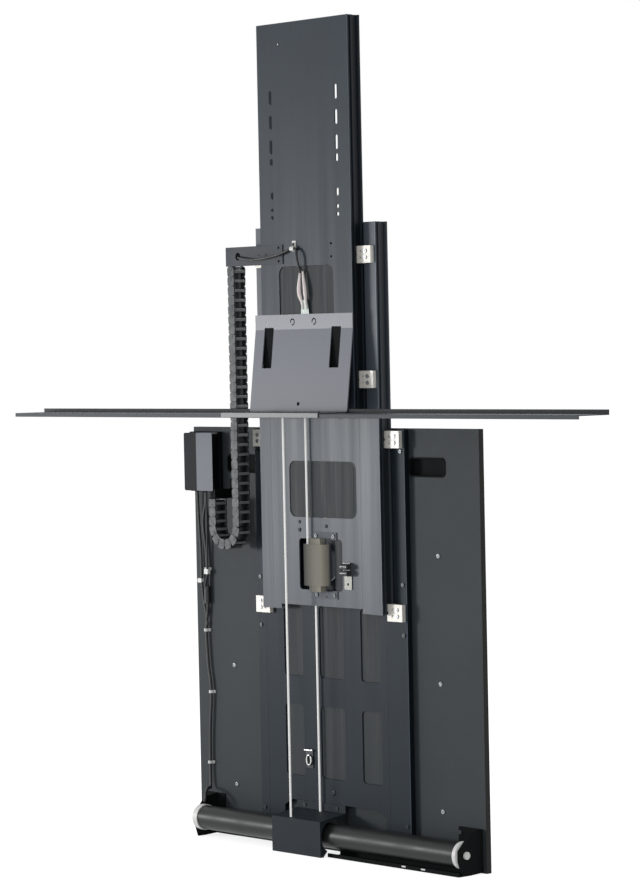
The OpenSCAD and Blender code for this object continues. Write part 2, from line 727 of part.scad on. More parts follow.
// Free end: a ring on the tube and a pin held by the bracket
module idler_pin() {
  placed() color(c_white) at_drum() union() {
    bar_x(square_pin * 1.5 - 2 * pin_fit, tube_x1 - idler_len,
      idler_x + bracket_gap + bracket_t + pin_out);
  }
}
module idler_ring() {
  inner = tube_d - 2 * tube_wall;
  placed() color(c_white) at_drum() difference() {
    union() {
      bar_x(idler_d, tube_x1, idler_x);
      bar_x(inner, tube_x1 - 2 * idler_len, tube_x1 + cut);
    }
    bar_x(square_pin * 1.5, tube_x1 - 2 * idler_len - cut, idler_x + cut);
  }
}
module drum_tube() {
  placed() color(c_black) at_drum() difference() {
    bar_x(tube_d, tube_x0, tube_x1);
    bar_x(tube_d - 2 * tube_wall, tube_x0 - cut, tube_x1 + cut);
  }
}
// Turns of rope on the drum, one winding for each rope
turn_count = 4;
turn_rings = 20;
module winding(x, way, a0) {
  r = (tube_d / 2 + rope_r + seat / 3) / cos(180 / turn_rings);
  pitch = rope_d + rope_lay;
  pts = [for (i = [0:turn_count * turn_rings]) let (a = a0 + 360 * i / turn_rings)
    [x + way * pitch * i / turn_rings, r * cos(a), r * sin(a)]];
  tube_on(pts, rope_r, 6, [1, 0, 0]);
}
module drum_rope() {
  placed() color(c_white) at_drum() {
    winding(hoist_x + rope_d, 1, 0);
    winding(return_x - rope_d, -1, 180);
  }
}
cover_screw_x = 50;
cover_screw_z = cover_h + cover_rise + cover_flange / 2;
module rope_cover() {
  x0 = cover_x - cover_w / 2;
  // the top plate climbs from the front plate to the flange on the rail
  y_back = fixed_y - plate_t;
  placed() color(c_black) difference() {
    union() {
      translate([x0, 0, 0]) rotate([90, 0, 90]) linear_extrude(height = cover_w)
        polygon([[cover_y, 0], [cover_y, cover_h], [y_back, cover_h + cover_rise],
          [y_back, cover_h + cover_rise + cover_flange], [fixed_y, cover_h + cover_rise
          + cover_flange], [fixed_y, cover_h + cover_rise - plate_t],
          [cover_y + plate_t, cover_h - plate_t], [cover_y + plate_t, 0]]);
      // side cheeks with a curved back edge
      for (x = [x0, x0 + cover_w - plate_t]) difference() {
        translate([x, 0, 0]) rotate([90, 0, 90]) linear_extrude(height = plate_t)
          polygon([[cover_y, 0], [cover_y, cover_h], [y_back, cover_h + cover_rise],
            [fixed_y - plate_t, cover_h - cover_flange / 2], [cover_y + plate_t * 4, 0]]);
        at_drum() bar_x(tube_d + 4 * rope_d, x - cut, x + plate_t + cut);
      }
    }
    for (sx = [-1, 1]) translate([cover_x + sx * cover_screw_x, fixed_y, cover_screw_z])
      screw_hole(-plate_t - cut, cut);
    // slots in the top plate for the two ropes
    block(return_x - rope_d * 1.2, return_x + rope_d * 1.2, rope_y_front - rope_d,
      rope_y_front + rope_d, cover_h / 2, cover_h + cover_rise);
    block(hoist_x - rope_d * 1.2, hoist_x + rope_d * 1.2, rope_y_back - rope_d,
      fixed_y - plate_t - seat, cover_h / 2, cover_h + cover_rise + cover_flange / 2);
  }
}
module rope_cover_screws() {
  placed() color(c_steel) for (sx = [-1, 1])
    translate([cover_x + sx * cover_screw_x, fixed_y - plate_t, cover_screw_z])
      screw(plate_t + sheet_t + cut);
}

// ropes

top_z = fixed_bottom + top_pulley_z;
module hoist_rope_lower() {
  // from the back of the drum up to the pulley of the fixed rail and over it
  r = top_pulley_d / 2;
  placed() color(c_white) tube_on(concat(
    [[hoist_x, rope_y_back, tube_z], [hoist_x, rope_y_back, tube_z + rope_d]],
    [for (i = [0:18]) let (a = 180 - 180 * i / 18)
      [top_pulley_x + r * cos(a), rope_y_back, top_z + r * sin(a)]]), rope_r, 8, [0, 1, 0]);
}
function tilt_pt(a, r) = let (c = r * cos(a)) [c * cos(stage_pulley_tilt),
  lower_pulley_y + c * sin(stage_pulley_tilt), lower_pulley_z + r * sin(a)];
module hoist_rope_middle() {
  // from the pulley of the fixed rail down to the pulley of the middle stage
  placed() color(c_white) tube_on([[top_pulley_x + top_pulley_d / 2, rope_y_back, top_z - seat],
    tilt_pt(0, stage_pulley_d / 2) + [0, 0, seat]], rope_r, 8, [0, 1, 0]);
}
module stage_rope() {
  // round the lower pulley, up in front of the middle stage and over its upper pulley
  r = head_pulley_d / 2;
  placed() color(c_white) tube_on(concat(
    [for (i = [0:18]) tilt_pt(-180 * i / 18, stage_pulley_d / 2)],
    [for (i = [0:18]) let (a = 180 - 180 * i / 18)
      [upper_pulley_x + r * cos(a), front_rope_y, upper_pulley_z + r * sin(a)]]),
    rope_r, 8, [0, 1, 0]);
}
socket_z = upper_bottom + tray_lip;
module hoist_rope_upper() {
  placed() color(c_white) tube_on([[upper_rope_x, front_rope_y, upper_pulley_z - seat],
    [upper_rope_x, front_rope_y, socket_z + seat + head_d]], rope_r, 8, [0, 1, 0]);
}
anchor_h = 12;
anchor_w = 24;
anchor_z = upper_bottom + tray_lip;
module return_rope() {
  placed() color(c_white) tube_on([[return_x, rope_y_front, tube_z],
    [return_x, rope_y_front, anchor_z]], rope_r, 8, [0, 1, 0]);
}
// Anchors of the two ropes at the foot of the upper stage, each bolted to its face
module rope_anchor() {
  placed() color(c_steel) {
    union() {
      block(return_x - anchor_w / 2, return_x + anchor_w / 2, rope_y_front - rope_r,
        upper_y, anchor_z, anchor_z + anchor_h);
      translate([return_x, 0, anchor_z + anchor_h / 2])
        bar_y(screw_d, upper_y - cut, upper_y + sheet_t + plate_t);
    }
    union() {
      block(upper_rope_x - anchor_w / 6, upper_rope_x + anchor_w / 6, upper_y + sheet_t,
        front_rope_y + rope_r, socket_z, socket_z + head_d);
      translate([upper_rope_x, 0, socket_z + head_d / 2])
        bar_y(screw_d, upper_y - plate_t, upper_y + sheet_t + cut);
    }
  }
}

// middle stage

module window_outline(w, z0, h, r) { polygon(rr(-w / 2, w / 2, z0, z0 + h, r)); }
mid_win_bottom = middle_bottom + mid_win_z;
module middle_stage() {
  placed() color(c_rail) difference() {
    stage(middle_half, stage_d, upper_half, middle_y, middle_bottom, middle_len);
    slab(middle_y - cut, middle_y + sheet_t + cut)
      translate([mid_win_x, 0]) window_outline(mid_win_w, mid_win_bottom, mid_win_h, 2 * win_r);
    slab(middle_y - cut, middle_y + sheet_t + cut)
      window_outline(pulley_win_w, middle_bottom + pulley_win_z, pulley_win_h, win_r);
    block(-foot_x, foot_x, middle_y - cut, middle_y + channel_d + sheet_t + cut,
      middle_bottom - cut, middle_bottom + end_step);
    translate([0, middle_y, 0]) guide_screw_places(middle_half, middle_guide_z, [guide_out])
      screw_hole(-cut, sheet_t + cut);
    translate([upper_pulley_x, middle_y, upper_pulley_z]) bar_y(pin_d + 2 * pin_fit, -cut, sheet_t + cut);
    guard_screw_places() screw_hole(0, plate_t + sheet_t + cut);
    translate([switch_x, middle_y, switch_z - switch_h * 0.3]) screw_hole(-cut, sheet_t + cut);
  }
}
// Lining behind a window: a shallow tray that hides the ropes
module lining(w, z0, h, r, y0) {
  slab(y0, y0 + lining_t) window_outline(w + 2 * lining_rim, z0 - lining_rim,
    h + 2 * lining_rim, r + lining_rim);
}
module middle_window_lining() {
  placed() color(c_rail) translate([mid_win_x, 0, 0])
    lining(mid_win_w, mid_win_bottom, mid_win_h, 2 * win_r, middle_y + sheet_t);
}
module middle_guide(sx, k) { guide_block(sx, middle_half, middle_y, middle_guide_z[k], upper_half); }
module middle_guide_upper_left() { middle_guide(-1, 0); }
module middle_guide_upper_right() { middle_guide(1, 0); }
module middle_guide_lower_left() { middle_guide(-1, 1); }
module middle_guide_lower_right() { middle_guide(1, 1); }
module middle_guide_screws() {
  placed() color(c_steel) translate([0, middle_y - guide_t, 0])
    guide_screw_places(middle_half, middle_guide_z, [guide_out]) screw(guide_t + sheet_t + cut);
}
// Limit switch: a plate screwed to the stage with two knobs above it
switch_x = 84;
switch_rise = 74;
switch_z = middle_bottom + switch_rise;
switch_w = 22;
switch_h = 54;
knob_d = 13;
module limit_switch() {
  placed() color(c_steel) difference() {
    slab(middle_y - plate_t, middle_y) polygon(rr(switch_x - switch_w / 2,
      switch_x + switch_w / 2, switch_z - switch_h / 2, switch_z + switch_h / 2, plate_t));
    translate([switch_x, middle_y, switch_z - switch_h * 0.3])
      screw_hole(-plate_t - cut, cut);
  }
}
module limit_switch_knobs() {
  placed() color(c_black) union() {
    slab(middle_y - plate_t * 3, middle_y - plate_t) polygon(rr(switch_x - switch_w / 2,
      switch_x + switch_w / 2, switch_z, switch_z + switch_h / 2, plate_t));
    for (s = [0.12, 0.36]) translate([0, middle_y - plate_t - knob_d / 2 - plate_t,
      switch_z + s * switch_h]) bar_x(knob_d * 0.9, switch_x - switch_w / 2 + plate_t,
        switch_x + switch_w / 2);
  }
}

// upper stage

slot_zs = [0, slot_pitch, 2 * slot_pitch, 2.61 * slot_pitch, 3.97 * slot_pitch];
slot_lens = [slot_len, slot_len, slot_len, slot_short, slot_short];
round_zs = [4.54 * slot_pitch, 4.85 * slot_pitch];
module tv_slot(len) {
  e = (len - slot_w) / 2;
  for (s = [-1, 1]) translate([0, upper_y, s * e]) bar_y(slot_w, -cut, sheet_t + cut);
  if (e > 0) block(-slot_w / 2, slot_w / 2, upper_y - cut, upper_y + sheet_t + cut, -e, e);
}
module tv_slots() {
  for (sx = [-1, 1]) translate([sx * slot_span / 2, 0, upper_top - slot_drop]) {
    for (k = [0:4]) translate([0, 0, -slot_zs[k]]) tv_slot(slot_lens[k]);
    for (z = round_zs) translate([0, upper_y, -z]) bar_y(slot_w, -cut, sheet_t + cut);
  }
}
up_win_top = upper_top - up_win_drop;
module upper_stage() {
  placed() color(c_rail) difference() {
    stage(upper_half, stage_d, 0, upper_y, upper_bottom, upper_len);
    tv_slots();
    slab(upper_y - cut, upper_y + sheet_t + cut)
      window_outline(up_win_w, up_win_top - up_win_h, up_win_h, up_win_r);
    translate([-upper_half * 0.54, upper_y, upper_top - screw_d * 8.5])
      screw_hole(-cut, sheet_t + cut);
    for (s = [0, 1]) translate([upper_half * 0.56, upper_y,
      up_win_top + up_win_r + s * guide_hole_dz * 2]) screw_hole(-cut, sheet_t + cut);
    arm_screw_places() screw_hole(-cut, plate_t + sheet_t + cut);
    tray_screw_places() screw_hole(-cut, plate_t + sheet_t + cut);
    translate([return_x, upper_y, anchor_z + anchor_h / 2]) screw_hole(-cut, sheet_t + cut);
    translate([upper_rope_x, upper_y, socket_z + head_d / 2]) screw_hole(-cut, sheet_t + cut);
  }
}
module upper_window_lining() {
  placed() color(c_rail) lining(up_win_w, up_win_top - up_win_h, up_win_h, up_win_r, upper_y + sheet_t);
}

// Bar bracket: top strip, leaning plate with two slots, foot with a front lip
tray_z1 = upper_bottom + tray_top;
tray_z0 = tray_z1 - tray_h;
tray_y = upper_y - plate_t;
foot_y = tray_y - tray_lean;
function tray_x0() = tray_x - tray_w / 2;
module tray_bracket() {
  placed() color(c_black) difference() {
    translate([tray_x0(), 0, 0]) rotate([90, 0, 90]) linear_extrude(height = tray_w)
      polygon([[upper_y, tray_z1], [tray_y, tray_z1], [tray_y, tray_z1 - tray_strip],
        [foot_y, tray_z0 + plate_t], [foot_y - tray_foot, tray_z0 + plate_t],
        [foot_y - tray_foot, tray_z0 - tray_lip + plate_t],
        [foot_y - tray_foot + plate_t, tray_z0 - tray_lip + plate_t],
        [foot_y - tray_foot + plate_t, tray_z0], [foot_y + plate_t, tray_z0],
        [upper_y, tray_z1 - tray_strip]]);
    for (sx = [-1, 1]) translate([tray_x + tray_slot_dx + sx * tray_slot_x, 0, 0])
      slab(foot_y - cut, upper_y + cut) polygon(rr(-tray_slot_w / 2, tray_slot_w / 2,
        tray_z1 - tray_slot_drop - tray_slot_h, tray_z1 - tray_slot_drop, plate_t));
    translate([tray_x, 0, tray_z0 + 2 * tray_lip]) bar_y(head_d, foot_y - cut, upper_y + cut);
    translate([0, -plate_t, 0]) tray_screw_places() screw_hole(-cut, plate_t + cut);
    for (sx = [-1, 1]) translate([tray_x + sx * tray_hole_x, 0, tray_z1 - tray_strip / 2])
      c_slot(tray_y - cut, upper_y + cut);
    for (x = tray_bar_screw_xs()) translate([x, foot_y - tray_foot / 2, 0])
      cylinder(d = screw_d + 2 * hole_fit, h = tray_z0 + plate_t + cut);
  }
}
// Ring slot whose core hangs on a bridge at its lower left
module c_slot(y0, y1) {
  difference() {
    bar_y(tray_hole_d, y0, y1);
    bar_y(tray_hole_d - 2 * tray_hole_w, y0 - cut, y1 + cut);
    rotate([0, 135, 0]) block(0, tray_hole_d, y0 - cut, y1 + cut, -tray_hole_w, tray_hole_w);
  }
}
module tray_screw_places() {
  for (sx = [-1, 1]) translate([tray_x + sx * tray_screw_x, upper_y,
    tray_z1 - tray_strip / 2]) children();
}
function tray_bar_screw_xs() = [for (s = [-0.36, 0.36]) tray_x + s * tray_w];
module tray_screws() {
  placed() color(c_steel) {
    // from behind, flush in front
    translate([0, sheet_t, 0]) tray_screw_places() rotate([0, 0, 180]) screw(plate_t + sheet_t);
    for (x = tray_bar_screw_xs()) translate([x, foot_y - tray_foot / 2, tray_z0 + plate_t])
      rotate([-90, 0, 0]) screw(2 * plate_t + cut);
  }
}
// Closing bar: a sheet under the foot with a lip down in front and a lip up behind
module tray_bar() {
  // the back lip stands just behind the leaning plate of the bracket
  y0 = foot_y + lip_lean + 2 * plate_t + 2 * seat - bar_d;
  placed() color(c_black) difference() {
    translate([tray_x - bar_len / 2, 0, 0]) rotate([90, 0, 90])
      linear_extrude(height = bar_len)
      polygon([[y0, tray_z0], [y0 + bar_d - plate_t, tray_z0],
        [y0 + bar_d - plate_t, tray_z0 + bar_lip], [y0 + bar_d, tray_z0 + bar_lip],
        [y0 + bar_d, tray_z0 - plate_t], [y0 + plate_t, tray_z0 - plate_t],
        [y0 + plate_t, tray_z0 - bar_lip], [y0, tray_z0 - bar_lip]]);
    for (x = tray_bar_screw_xs()) translate([x, foot_y - tray_foot / 2, 0])
      cylinder(d = screw_d + 2 * hole_fit, h = tray_z0 + cut);
  }
}

// chain and arm

module arm_screw_places() {
  for (dz = [-1, 1]) translate([arm_x1 - arm_tab / 2, upper_y, arm_z + dz * arm_h * 0.35])
    children();
}
module chain_arm() {
  // channel: a front plate, a top and a bottom lip, and a screwed end
  placed() color(c_black) difference() {
    union() {
      slab(upper_y - plate_t, upper_y) polygon([[arm_x0, arm_z - arm_h / 2],
        [arm_x1, arm_z - arm_h / 2], [arm_x1, arm_z + arm_h / 2], [arm_x0, arm_z + arm_h / 2]]);
      block(arm_x0, -upper_half - seat, upper_y - plate_t, upper_y + arm_d,
        arm_z - arm_h / 2, arm_z - arm_h / 2 + plate_t);
      block(arm_x0, -upper_half - seat, upper_y - plate_t, upper_y + arm_d,
        arm_z + arm_h / 2 - plate_t, arm_z + arm_h / 2);
      block(arm_x0, -upper_half - seat, upper_y + arm_d - plate_t, upper_y + arm_d,
        arm_z - arm_h / 2, arm_z + arm_h / 2);
    }
    translate([0, -plate_t, 0]) arm_screw_places() screw_hole(-cut, plate_t + cut);
    translate([arm_x0 + arm_h, 0, arm_z]) bar_y(2 * head_d, upper_y - plate_t - cut, upper_y + cut);
  }
}
// One link outline seen along Y: centred on the origin, its length along Z
function link_outline(t, p) = [
  [-t / 2, -p / 2], [t / 2 * link_neck_share, -p / 2], [t / 2, -p / 2 + p * 0.2],
  [t / 2, p / 2 - p * 0.2], [t / 2 * link_neck_share, p / 2], [-t / 2, p / 2],
  [-t / 2 * link_neck_share, p * 0.1], [-t / 2 * link_neck_share, -p * 0.1]];
// Cheeks and cross bars of a row of links, from their outlines in X and Z
module chain_body(y0) {
  w = chain_w;
  wall = chain_w / 8;
  for (y = [y0 - w, y0 - wall]) slab(y, y + wall) children(0);
  slab(y0 - w + wall / 2, y0 - wall / 2) children(1);
}
module cross_bar(p) {
  x = chain_t / 2 * link_neck_share;
  for (s = [-1, 1]) translate([s * (x - link_bar / 2), 0])
    square([link_bar, 2 * p * link_gap_share], center = true);
}
module row_2d(x, z0, step, count, bars) {
  intersection() {
    for (k = [0:count - 1]) translate([x, z0 + (k + 0.5) * step])
      if (bars) cross_bar(step); else polygon(link_outline(chain_t, step * link_lap_share));
    translate([x - chain_t, z0]) square([2 * chain_t, count * step]);
  }
}
run_len = chain_top_z - bend_z - seat;
run_count = max(2, round(run_len / chain_pitch));
module chain_run() {
  placed() color(c_black) chain_body(chain_y) {
    row_2d(chain_run_x, bend_z + seat, run_len / run_count, run_count, false);
    row_2d(chain_run_x, bend_z + seat, run_len / run_count, run_count, true);
  }
}
bend_x = chain_run_x - chain_r;
bend_count = max(3, round(PI * chain_r / chain_pitch));
module bend_2d(bars) {
  n = bend_count;
  intersection() {
    for (k = [0:n - 1]) translate([bend_x, bend_z]) rotate(-180 * (k + 0.5) / n)
      translate([chain_r, 0]) if (bars) cross_bar(chain_pitch);
        else polygon(link_outline(chain_t, chain_pitch * link_lap_share));
    translate([bend_x - 2 * chain_r, bend_z - 2 * chain_r]) square([4 * chain_r, 2 * chain_r]);
  }
}
module chain_bend() {
  placed() color(c_black) chain_body(chain_y) {
    bend_2d(false);
    bend_2d(true);
  }
}
fixed_leg_x = bend_x - chain_r;
leg_len = fixed_end_z - bend_z - seat;
leg_count = max(2, round(leg_len / chain_pitch));
module chain_fixed_leg() {
  placed() color(c_black) chain_body(chain_y) {
    row_2d(fixed_leg_x, bend_z + seat, leg_len / leg_count, leg_count, false);
    row_2d(fixed_leg_x, bend_z + seat, leg_len / leg_count, leg_count, true);
  }
}
// Bracket from the board out to the fixed end of the chain
module chain_bracket() {
  z0 = fixed_end_z;
  x0 = fixed_leg_x - chain_t / 2;
  x1 = fixed_leg_x + chain_t / 2;
  placed() color(c_black) difference() {
    union() {
      block(x0, x1, chain_y - chain_w, 0, z0 + seat, z0 + seat + plate_t);
      block(x0, x1, -plate_t, 0, z0 + seat, z0 + arm_h);
      block(x0, x0 + plate_t, chain_y - chain_w / 2, 0, z0 + seat, z0 + arm_h / 2);
    }
    translate([fixed_leg_x, 0, z0 + arm_h * 0.7]) screw_hole(-plate_t - cut, cut);
  }
}

// control box and wiring

box_top = board_h - box_drop;
module control_box_base() {
  placed() color(c_black) slab(-box_d / 3, 0) polygon(rr(box_x - box_w / 2, box_x + box_w / 2,
    box_top - box_h, box_top, plate_t));
}
module control_box_cover() {
  placed() color(c_black) difference() {
    slab(-box_d, -box_d / 3) polygon(rr(box_x - box_w / 2 + plate_t,
      box_x + box_w / 2 - plate_t, box_top - box_h + plate_t, box_top - plate_t, 2 * plate_t));
    slab(-box_d + plate_t, -box_d / 3 + cut) polygon(rr(box_x - box_w / 2 + 2 * plate_t,
      box_x + box_w / 2 - 2 * plate_t, box_top - box_h + 2 * plate_t, box_top - 2 * plate_t,
      plate_t));
  }
}
// Route of the cable from the box down the left side of the board to the motor head.
// Heights are shares of the way from the drum up to the foot of the box
box_foot = box_top - box_h;
cable_x = -402;
cable_y = -6;
cable_low = tube_z + 60;
cable_at_share = [0.9615, 0.897, 0.801, 0.737, 0.697, 0.649, 0.601, 0.529, 0.417, 0.3205,
  0.192, 0.08, 0];
cable_dx = [4, -8, -2, 0, 0, 0, 0, -6, -2, 6, 0, -2, 0];
cable_dy = [-3, -1, 0, 0, 0, 0, 0, 0, 0, 0, 0, 0, -2];
function cable_z(s) = lerp(cable_low, box_foot, s);
cable_pts = concat([[cable_x + cable_dx[0], cable_y + 1.3 * cable_dy[0], box_foot - 2 * seat]],
  [for (i = [0:12]) [cable_x + cable_dx[i], cable_y + cable_dy[i], cable_z(cable_at_share[i])]],
  [[lerp(cable_x, motor_x, 0.4), -0.37 * tube_y, tube_z + 1.16 * tube_d],
    [motor_x - bracket_t / 2, -0.67 * tube_y, tube_z + 1.08 * tube_d],
    [motor_x + crown_len / 2, -0.9 * tube_y, tube_z + 0.88 * tube_d],
    [motor_x + crown_len / 2, -0.96 * tube_y, tube_z + (crown_d + cable_d) / 2 + 2 * seat]]);
module motor_cable() {
  placed() color(c_black) tube_on(smooth(cable_pts, 4), cable_d / 2, 8, [1, 0, 0]);
}
coupler_len = 36;
coupler_d = 13;
coupler_at = 5;                  // the point of the route that the coupler sits on
module cable_coupler() {
  placed() color(c_black) translate([cable_x, -coupler_d / 2,
    cable_z(cable_at_share[coupler_at]) - coupler_len / 2]) difference() {
    cylinder(d = coupler_d, h = coupler_len);
    translate([0, 0, -cut]) cylinder(d = cable_d + 4 * seat, h = coupler_len + 2 * cut);
  }
}
clip_w = 16;
clip_at = [3, 9, 7, 11];         // the points of the route that the clips sit on
module cable_clips() {
  placed() color(c_white) for (k = clip_at)
    translate([cable_x + cable_dx[k], 0, cable_z(cable_at_share[k])]) difference() {
    union() {
      block(-clip_w / 2, clip_w / 2, -plate_t, 0, -clip_t / 2, clip_t / 2);
      translate([0, cable_y, -clip_t / 2]) cylinder(d = cable_d + 2 * plate_t, h = clip_t);
    }
    translate([0, cable_y, -clip_t]) cylinder(d = cable_d + 3 * seat, h = 2 * clip_t);
    block(-clip_w, clip_w, 0, clip_w, -clip_t, clip_t);
  }
}

// Wiring of the anti-trap tape on the upper stage, all measured from its clip
clip_x = -33;
clip_rise = 10;
clip_z = arm_z + clip_rise;
module sensor_clip() {
  placed() color(c_white) difference() {
    union() {
      slab(upper_y - plate_t, upper_y) polygon(rr(clip_x - clip_w / 3, clip_x + clip_w / 3,
        clip_z - clip_w / 3, clip_z + clip_w, plate_t));
      translate([clip_x - clip_w / 3, upper_y - cable_d / 2 - plate_t, clip_z])
        rotate([0, 90, 0]) cylinder(d = cable_d + 2 * plate_t, h = clip_w * 2 / 3);
    }
    translate([clip_x - clip_w, upper_y - cable_d / 2 - plate_t, clip_z])
      rotate([0, 90, 0]) cylinder(d = cable_d + 3 * seat, h = 2 * clip_w);
    block(clip_x - clip_w, clip_x + clip_w, upper_y, upper_y + clip_w, clip_z - clip_w,
      clip_z + 2 * clip_w);
  }
}
sensor_way = [[-177, 4, -10.5], [-174, -2, -11], [-164, -8, -14], [-127, -8.5, -18.5],
  [-87, -8.5, -16.5], [-47, -8, -11.5], [-18, -6, -4], [-8, -5, -0.5], [0, -5, 0], [8, -5.5, -0.5],
  [14, -8, -5], [18, -11, -17.5], [21, -9.5, -33.5], [22.5, -5, -49.2]];
module sensor_cable() {
  placed() color(c_black) translate([clip_x, upper_y, clip_z])
    tube_on(smooth(sensor_way, 4), cable_d / 2 - plate_t / 4, 8, [0, 1, 0]);
}
tape_drop = 49.5;                // below the clip
tape_w = 22;
tape_lean = 7;                   // the foot of the tape stands to the right of its top
tape_out = 6;                    // the front of the tape stands off the stage by this much
// A flat tape that ends in two splices with a slit between them
module sensor_tape() {
  z1 = clip_z - tape_drop;
  z0 = tray_z1 + seat;
  x = clip_x + tape_drop * 0.455;
  w = tape_w;
  placed() color(c_white) slab(upper_y - tape_out, upper_y - tape_out + plate_t) difference() {
    polygon([[x - 0.12 * w, z1], [x + 0.12 * w, z1], [x + 0.62 * w, lerp(z0, z1, 0.6)],
      [x + 0.5 * w, lerp(z0, z1, 0.36)], [x + tape_lean + w / 2, z0], [x + tape_lean - w / 2, z0],
      [x - 0.2 * w, lerp(z0, z1, 0.24)], [x - 0.5 * w, lerp(z0, z1, 0.44)],
      [x - 0.5 * w, lerp(z0, z1, 0.64)]]);
    polygon([[x - 0.02 * w, z1 + cut], [x + 0.02 * w, z1 + cut], [x + 0.2 * w, lerp(z0, z1, 0.5)],
      [x + 0.15 * w, lerp(z0, z1, 0.3)], [x - 0.08 * w, lerp(z0, z1, 0.42)]]);
  }
}

// output

back_board();
hand_cup_left();
hand_cup_right();
fixed_rail();
rail_screws();
fixed_guide_upper_left();
fixed_guide_upper_right();
fixed_guide_lower_left();
fixed_guide_lower_right();
fixed_guide_screws();
top_pulley_pin();
top_pulley();
motor_head();
motor_bracket_left();
motor_bracket_right();
motor_bracket_screws();
idler_pin();
drum_tube();
idler_ring();
drum_rope();
rope_cover();
rope_cover_screws();
control_box_base();
control_box_cover();
motor_cable();
cable_coupler();
cable_clips();
chain_bracket();
chain_fixed_leg();
return_rope();
hoist_rope_lower();
hoist_rope_middle();
middle_stage();
middle_window_lining();
middle_guide_upper_left();
middle_guide_upper_right();
middle_guide_lower_left();
middle_guide_lower_right();
middle_guide_screws();
pulley_guard();
guard_screws();
lower_pulley();
upper_pulley();
upper_pulley_pin();
stage_rope();
limit_switch();
limit_switch_knobs();
chain_bend();
upper_stage();
upper_window_lining();
tray_bracket();
tray_bar();
tray_screws();
chain_arm();
chain_run();
sensor_clip();
sensor_cable();
sensor_tape();
rope_anchor();
hoist_rope_upper();
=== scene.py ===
"""Motorised screen lift: materials, ropes, chain links, wiring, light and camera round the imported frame."""
import json
import math

import bmesh
import bpy
from mathutils import Matrix, Vector


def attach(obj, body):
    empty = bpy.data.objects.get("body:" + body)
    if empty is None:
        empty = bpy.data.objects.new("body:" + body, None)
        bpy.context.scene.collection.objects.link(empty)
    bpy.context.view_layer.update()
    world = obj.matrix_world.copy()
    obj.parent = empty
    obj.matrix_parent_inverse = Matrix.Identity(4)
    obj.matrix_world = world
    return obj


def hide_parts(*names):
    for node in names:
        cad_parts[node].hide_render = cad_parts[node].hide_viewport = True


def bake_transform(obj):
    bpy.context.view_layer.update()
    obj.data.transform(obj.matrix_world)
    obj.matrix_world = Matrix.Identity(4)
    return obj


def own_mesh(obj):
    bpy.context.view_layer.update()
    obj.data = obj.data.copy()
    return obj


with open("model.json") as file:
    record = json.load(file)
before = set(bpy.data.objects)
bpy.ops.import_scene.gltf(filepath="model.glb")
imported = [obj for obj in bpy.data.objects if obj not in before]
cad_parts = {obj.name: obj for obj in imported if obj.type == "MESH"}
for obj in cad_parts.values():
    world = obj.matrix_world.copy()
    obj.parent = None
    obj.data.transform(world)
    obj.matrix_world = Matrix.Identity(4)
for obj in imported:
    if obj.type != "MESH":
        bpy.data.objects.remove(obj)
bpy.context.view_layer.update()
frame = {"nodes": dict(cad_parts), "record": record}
NODES = frame["nodes"]
SLOT_OF = {s["node"]: s["material_slot"] for s in frame["record"]["subparts"]}

# Places
# The part's source measures from the front of the board in millimetres; this is its shift.
SHIFT_X = 9.0
SHIFT_Y = 73.37381
MM = 0.001


def at(x, y, z):
    """A point of the part's source, in millimetres, as a point of the frame in metres."""
    return Vector(((x + SHIFT_X) * MM, (y + SHIFT_Y) * MM, z * MM))


# Fronts and half widths of the three stages, in millimetres of the source, as all sizes below
FIXED_Y, MIDDLE_Y, UPPER_Y = -12.5, -36.5, -60.5
FIXED_HALF, MIDDLE_HALF, UPPER_HALF = 228.5, 182.5, 139.0
ROPE_R = 2.25
STROKE = 375.0           # travel of each slide


# Material helpers
def empty_tree(owner):
    """The node tree of a material or world, cleared."""
    owner.use_nodes = True
    owner.node_tree.nodes.clear()
    return owner.node_tree


def new_material(name):
    """A material with its tree and one Principled shader."""
    m = bpy.data.materials.new(name)
    tree = empty_tree(m)
    out = tree.nodes.new("ShaderNodeOutputMaterial")
    bsdf = tree.nodes.new("ShaderNodeBsdfPrincipled")
    tree.links.new(bsdf.outputs["BSDF"], out.inputs["Surface"])
    return m, tree, bsdf


def coords(tree, scale=(1, 1, 1)):
    """Object coordinates of the rest shape, stretched by scale."""
    tc = tree.nodes.new("ShaderNodeTexCoord")
    mp = tree.nodes.new("ShaderNodeMapping")
    mp.inputs["Scale"].default_value = scale
    tree.links.new(tc.outputs["Object"], mp.inputs["Vector"])
    return mp.outputs["Vector"]


def noise(tree, vector, scale, detail=4.0, rough=0.55):
    n = tree.nodes.new("ShaderNodeTexNoise")
    n.inputs["Scale"].default_value = scale
    n.inputs["Detail"].default_value = detail
    n.inputs["Roughness"].default_value = rough
    tree.links.new(vector, n.inputs["Vector"])
    return n.outputs["Fac"]


def ramp(tree, fac, stops):
    r = tree.nodes.new("ShaderNodeValToRGB")
    e = r.color_ramp.elements
    while len(e) < len(stops):
        e.new(0.5)
    for item, (pos, col) in zip(e, stops):
        item.position = pos
        item.color = (*col, 1)
    tree.links.new(fac, r.inputs["Fac"])
    return r.outputs["Color"]


def remap(tree, fac, low, high, start=0.0, end=1.0):
    m = tree.nodes.new("ShaderNodeMapRange")
    m.inputs["From Min"].default_value = start
    m.inputs["From Max"].default_value = end
    m.inputs["To Min"].default_value = low
    m.inputs["To Max"].default_value = high
    tree.links.new(fac, m.inputs["Value"])
    return m.outputs["Result"]


def add_bump(tree, bsdf, height, strength, distance=0.0004):
    b = tree.nodes.new("ShaderNodeBump")
    b.inputs["Strength"].default_value = strength
    b.inputs["Distance"].default_value = distance
    tree.links.new(height, b.inputs["Height"])
    tree.links.new(b.outputs["Normal"], bsdf.inputs["Normal"])


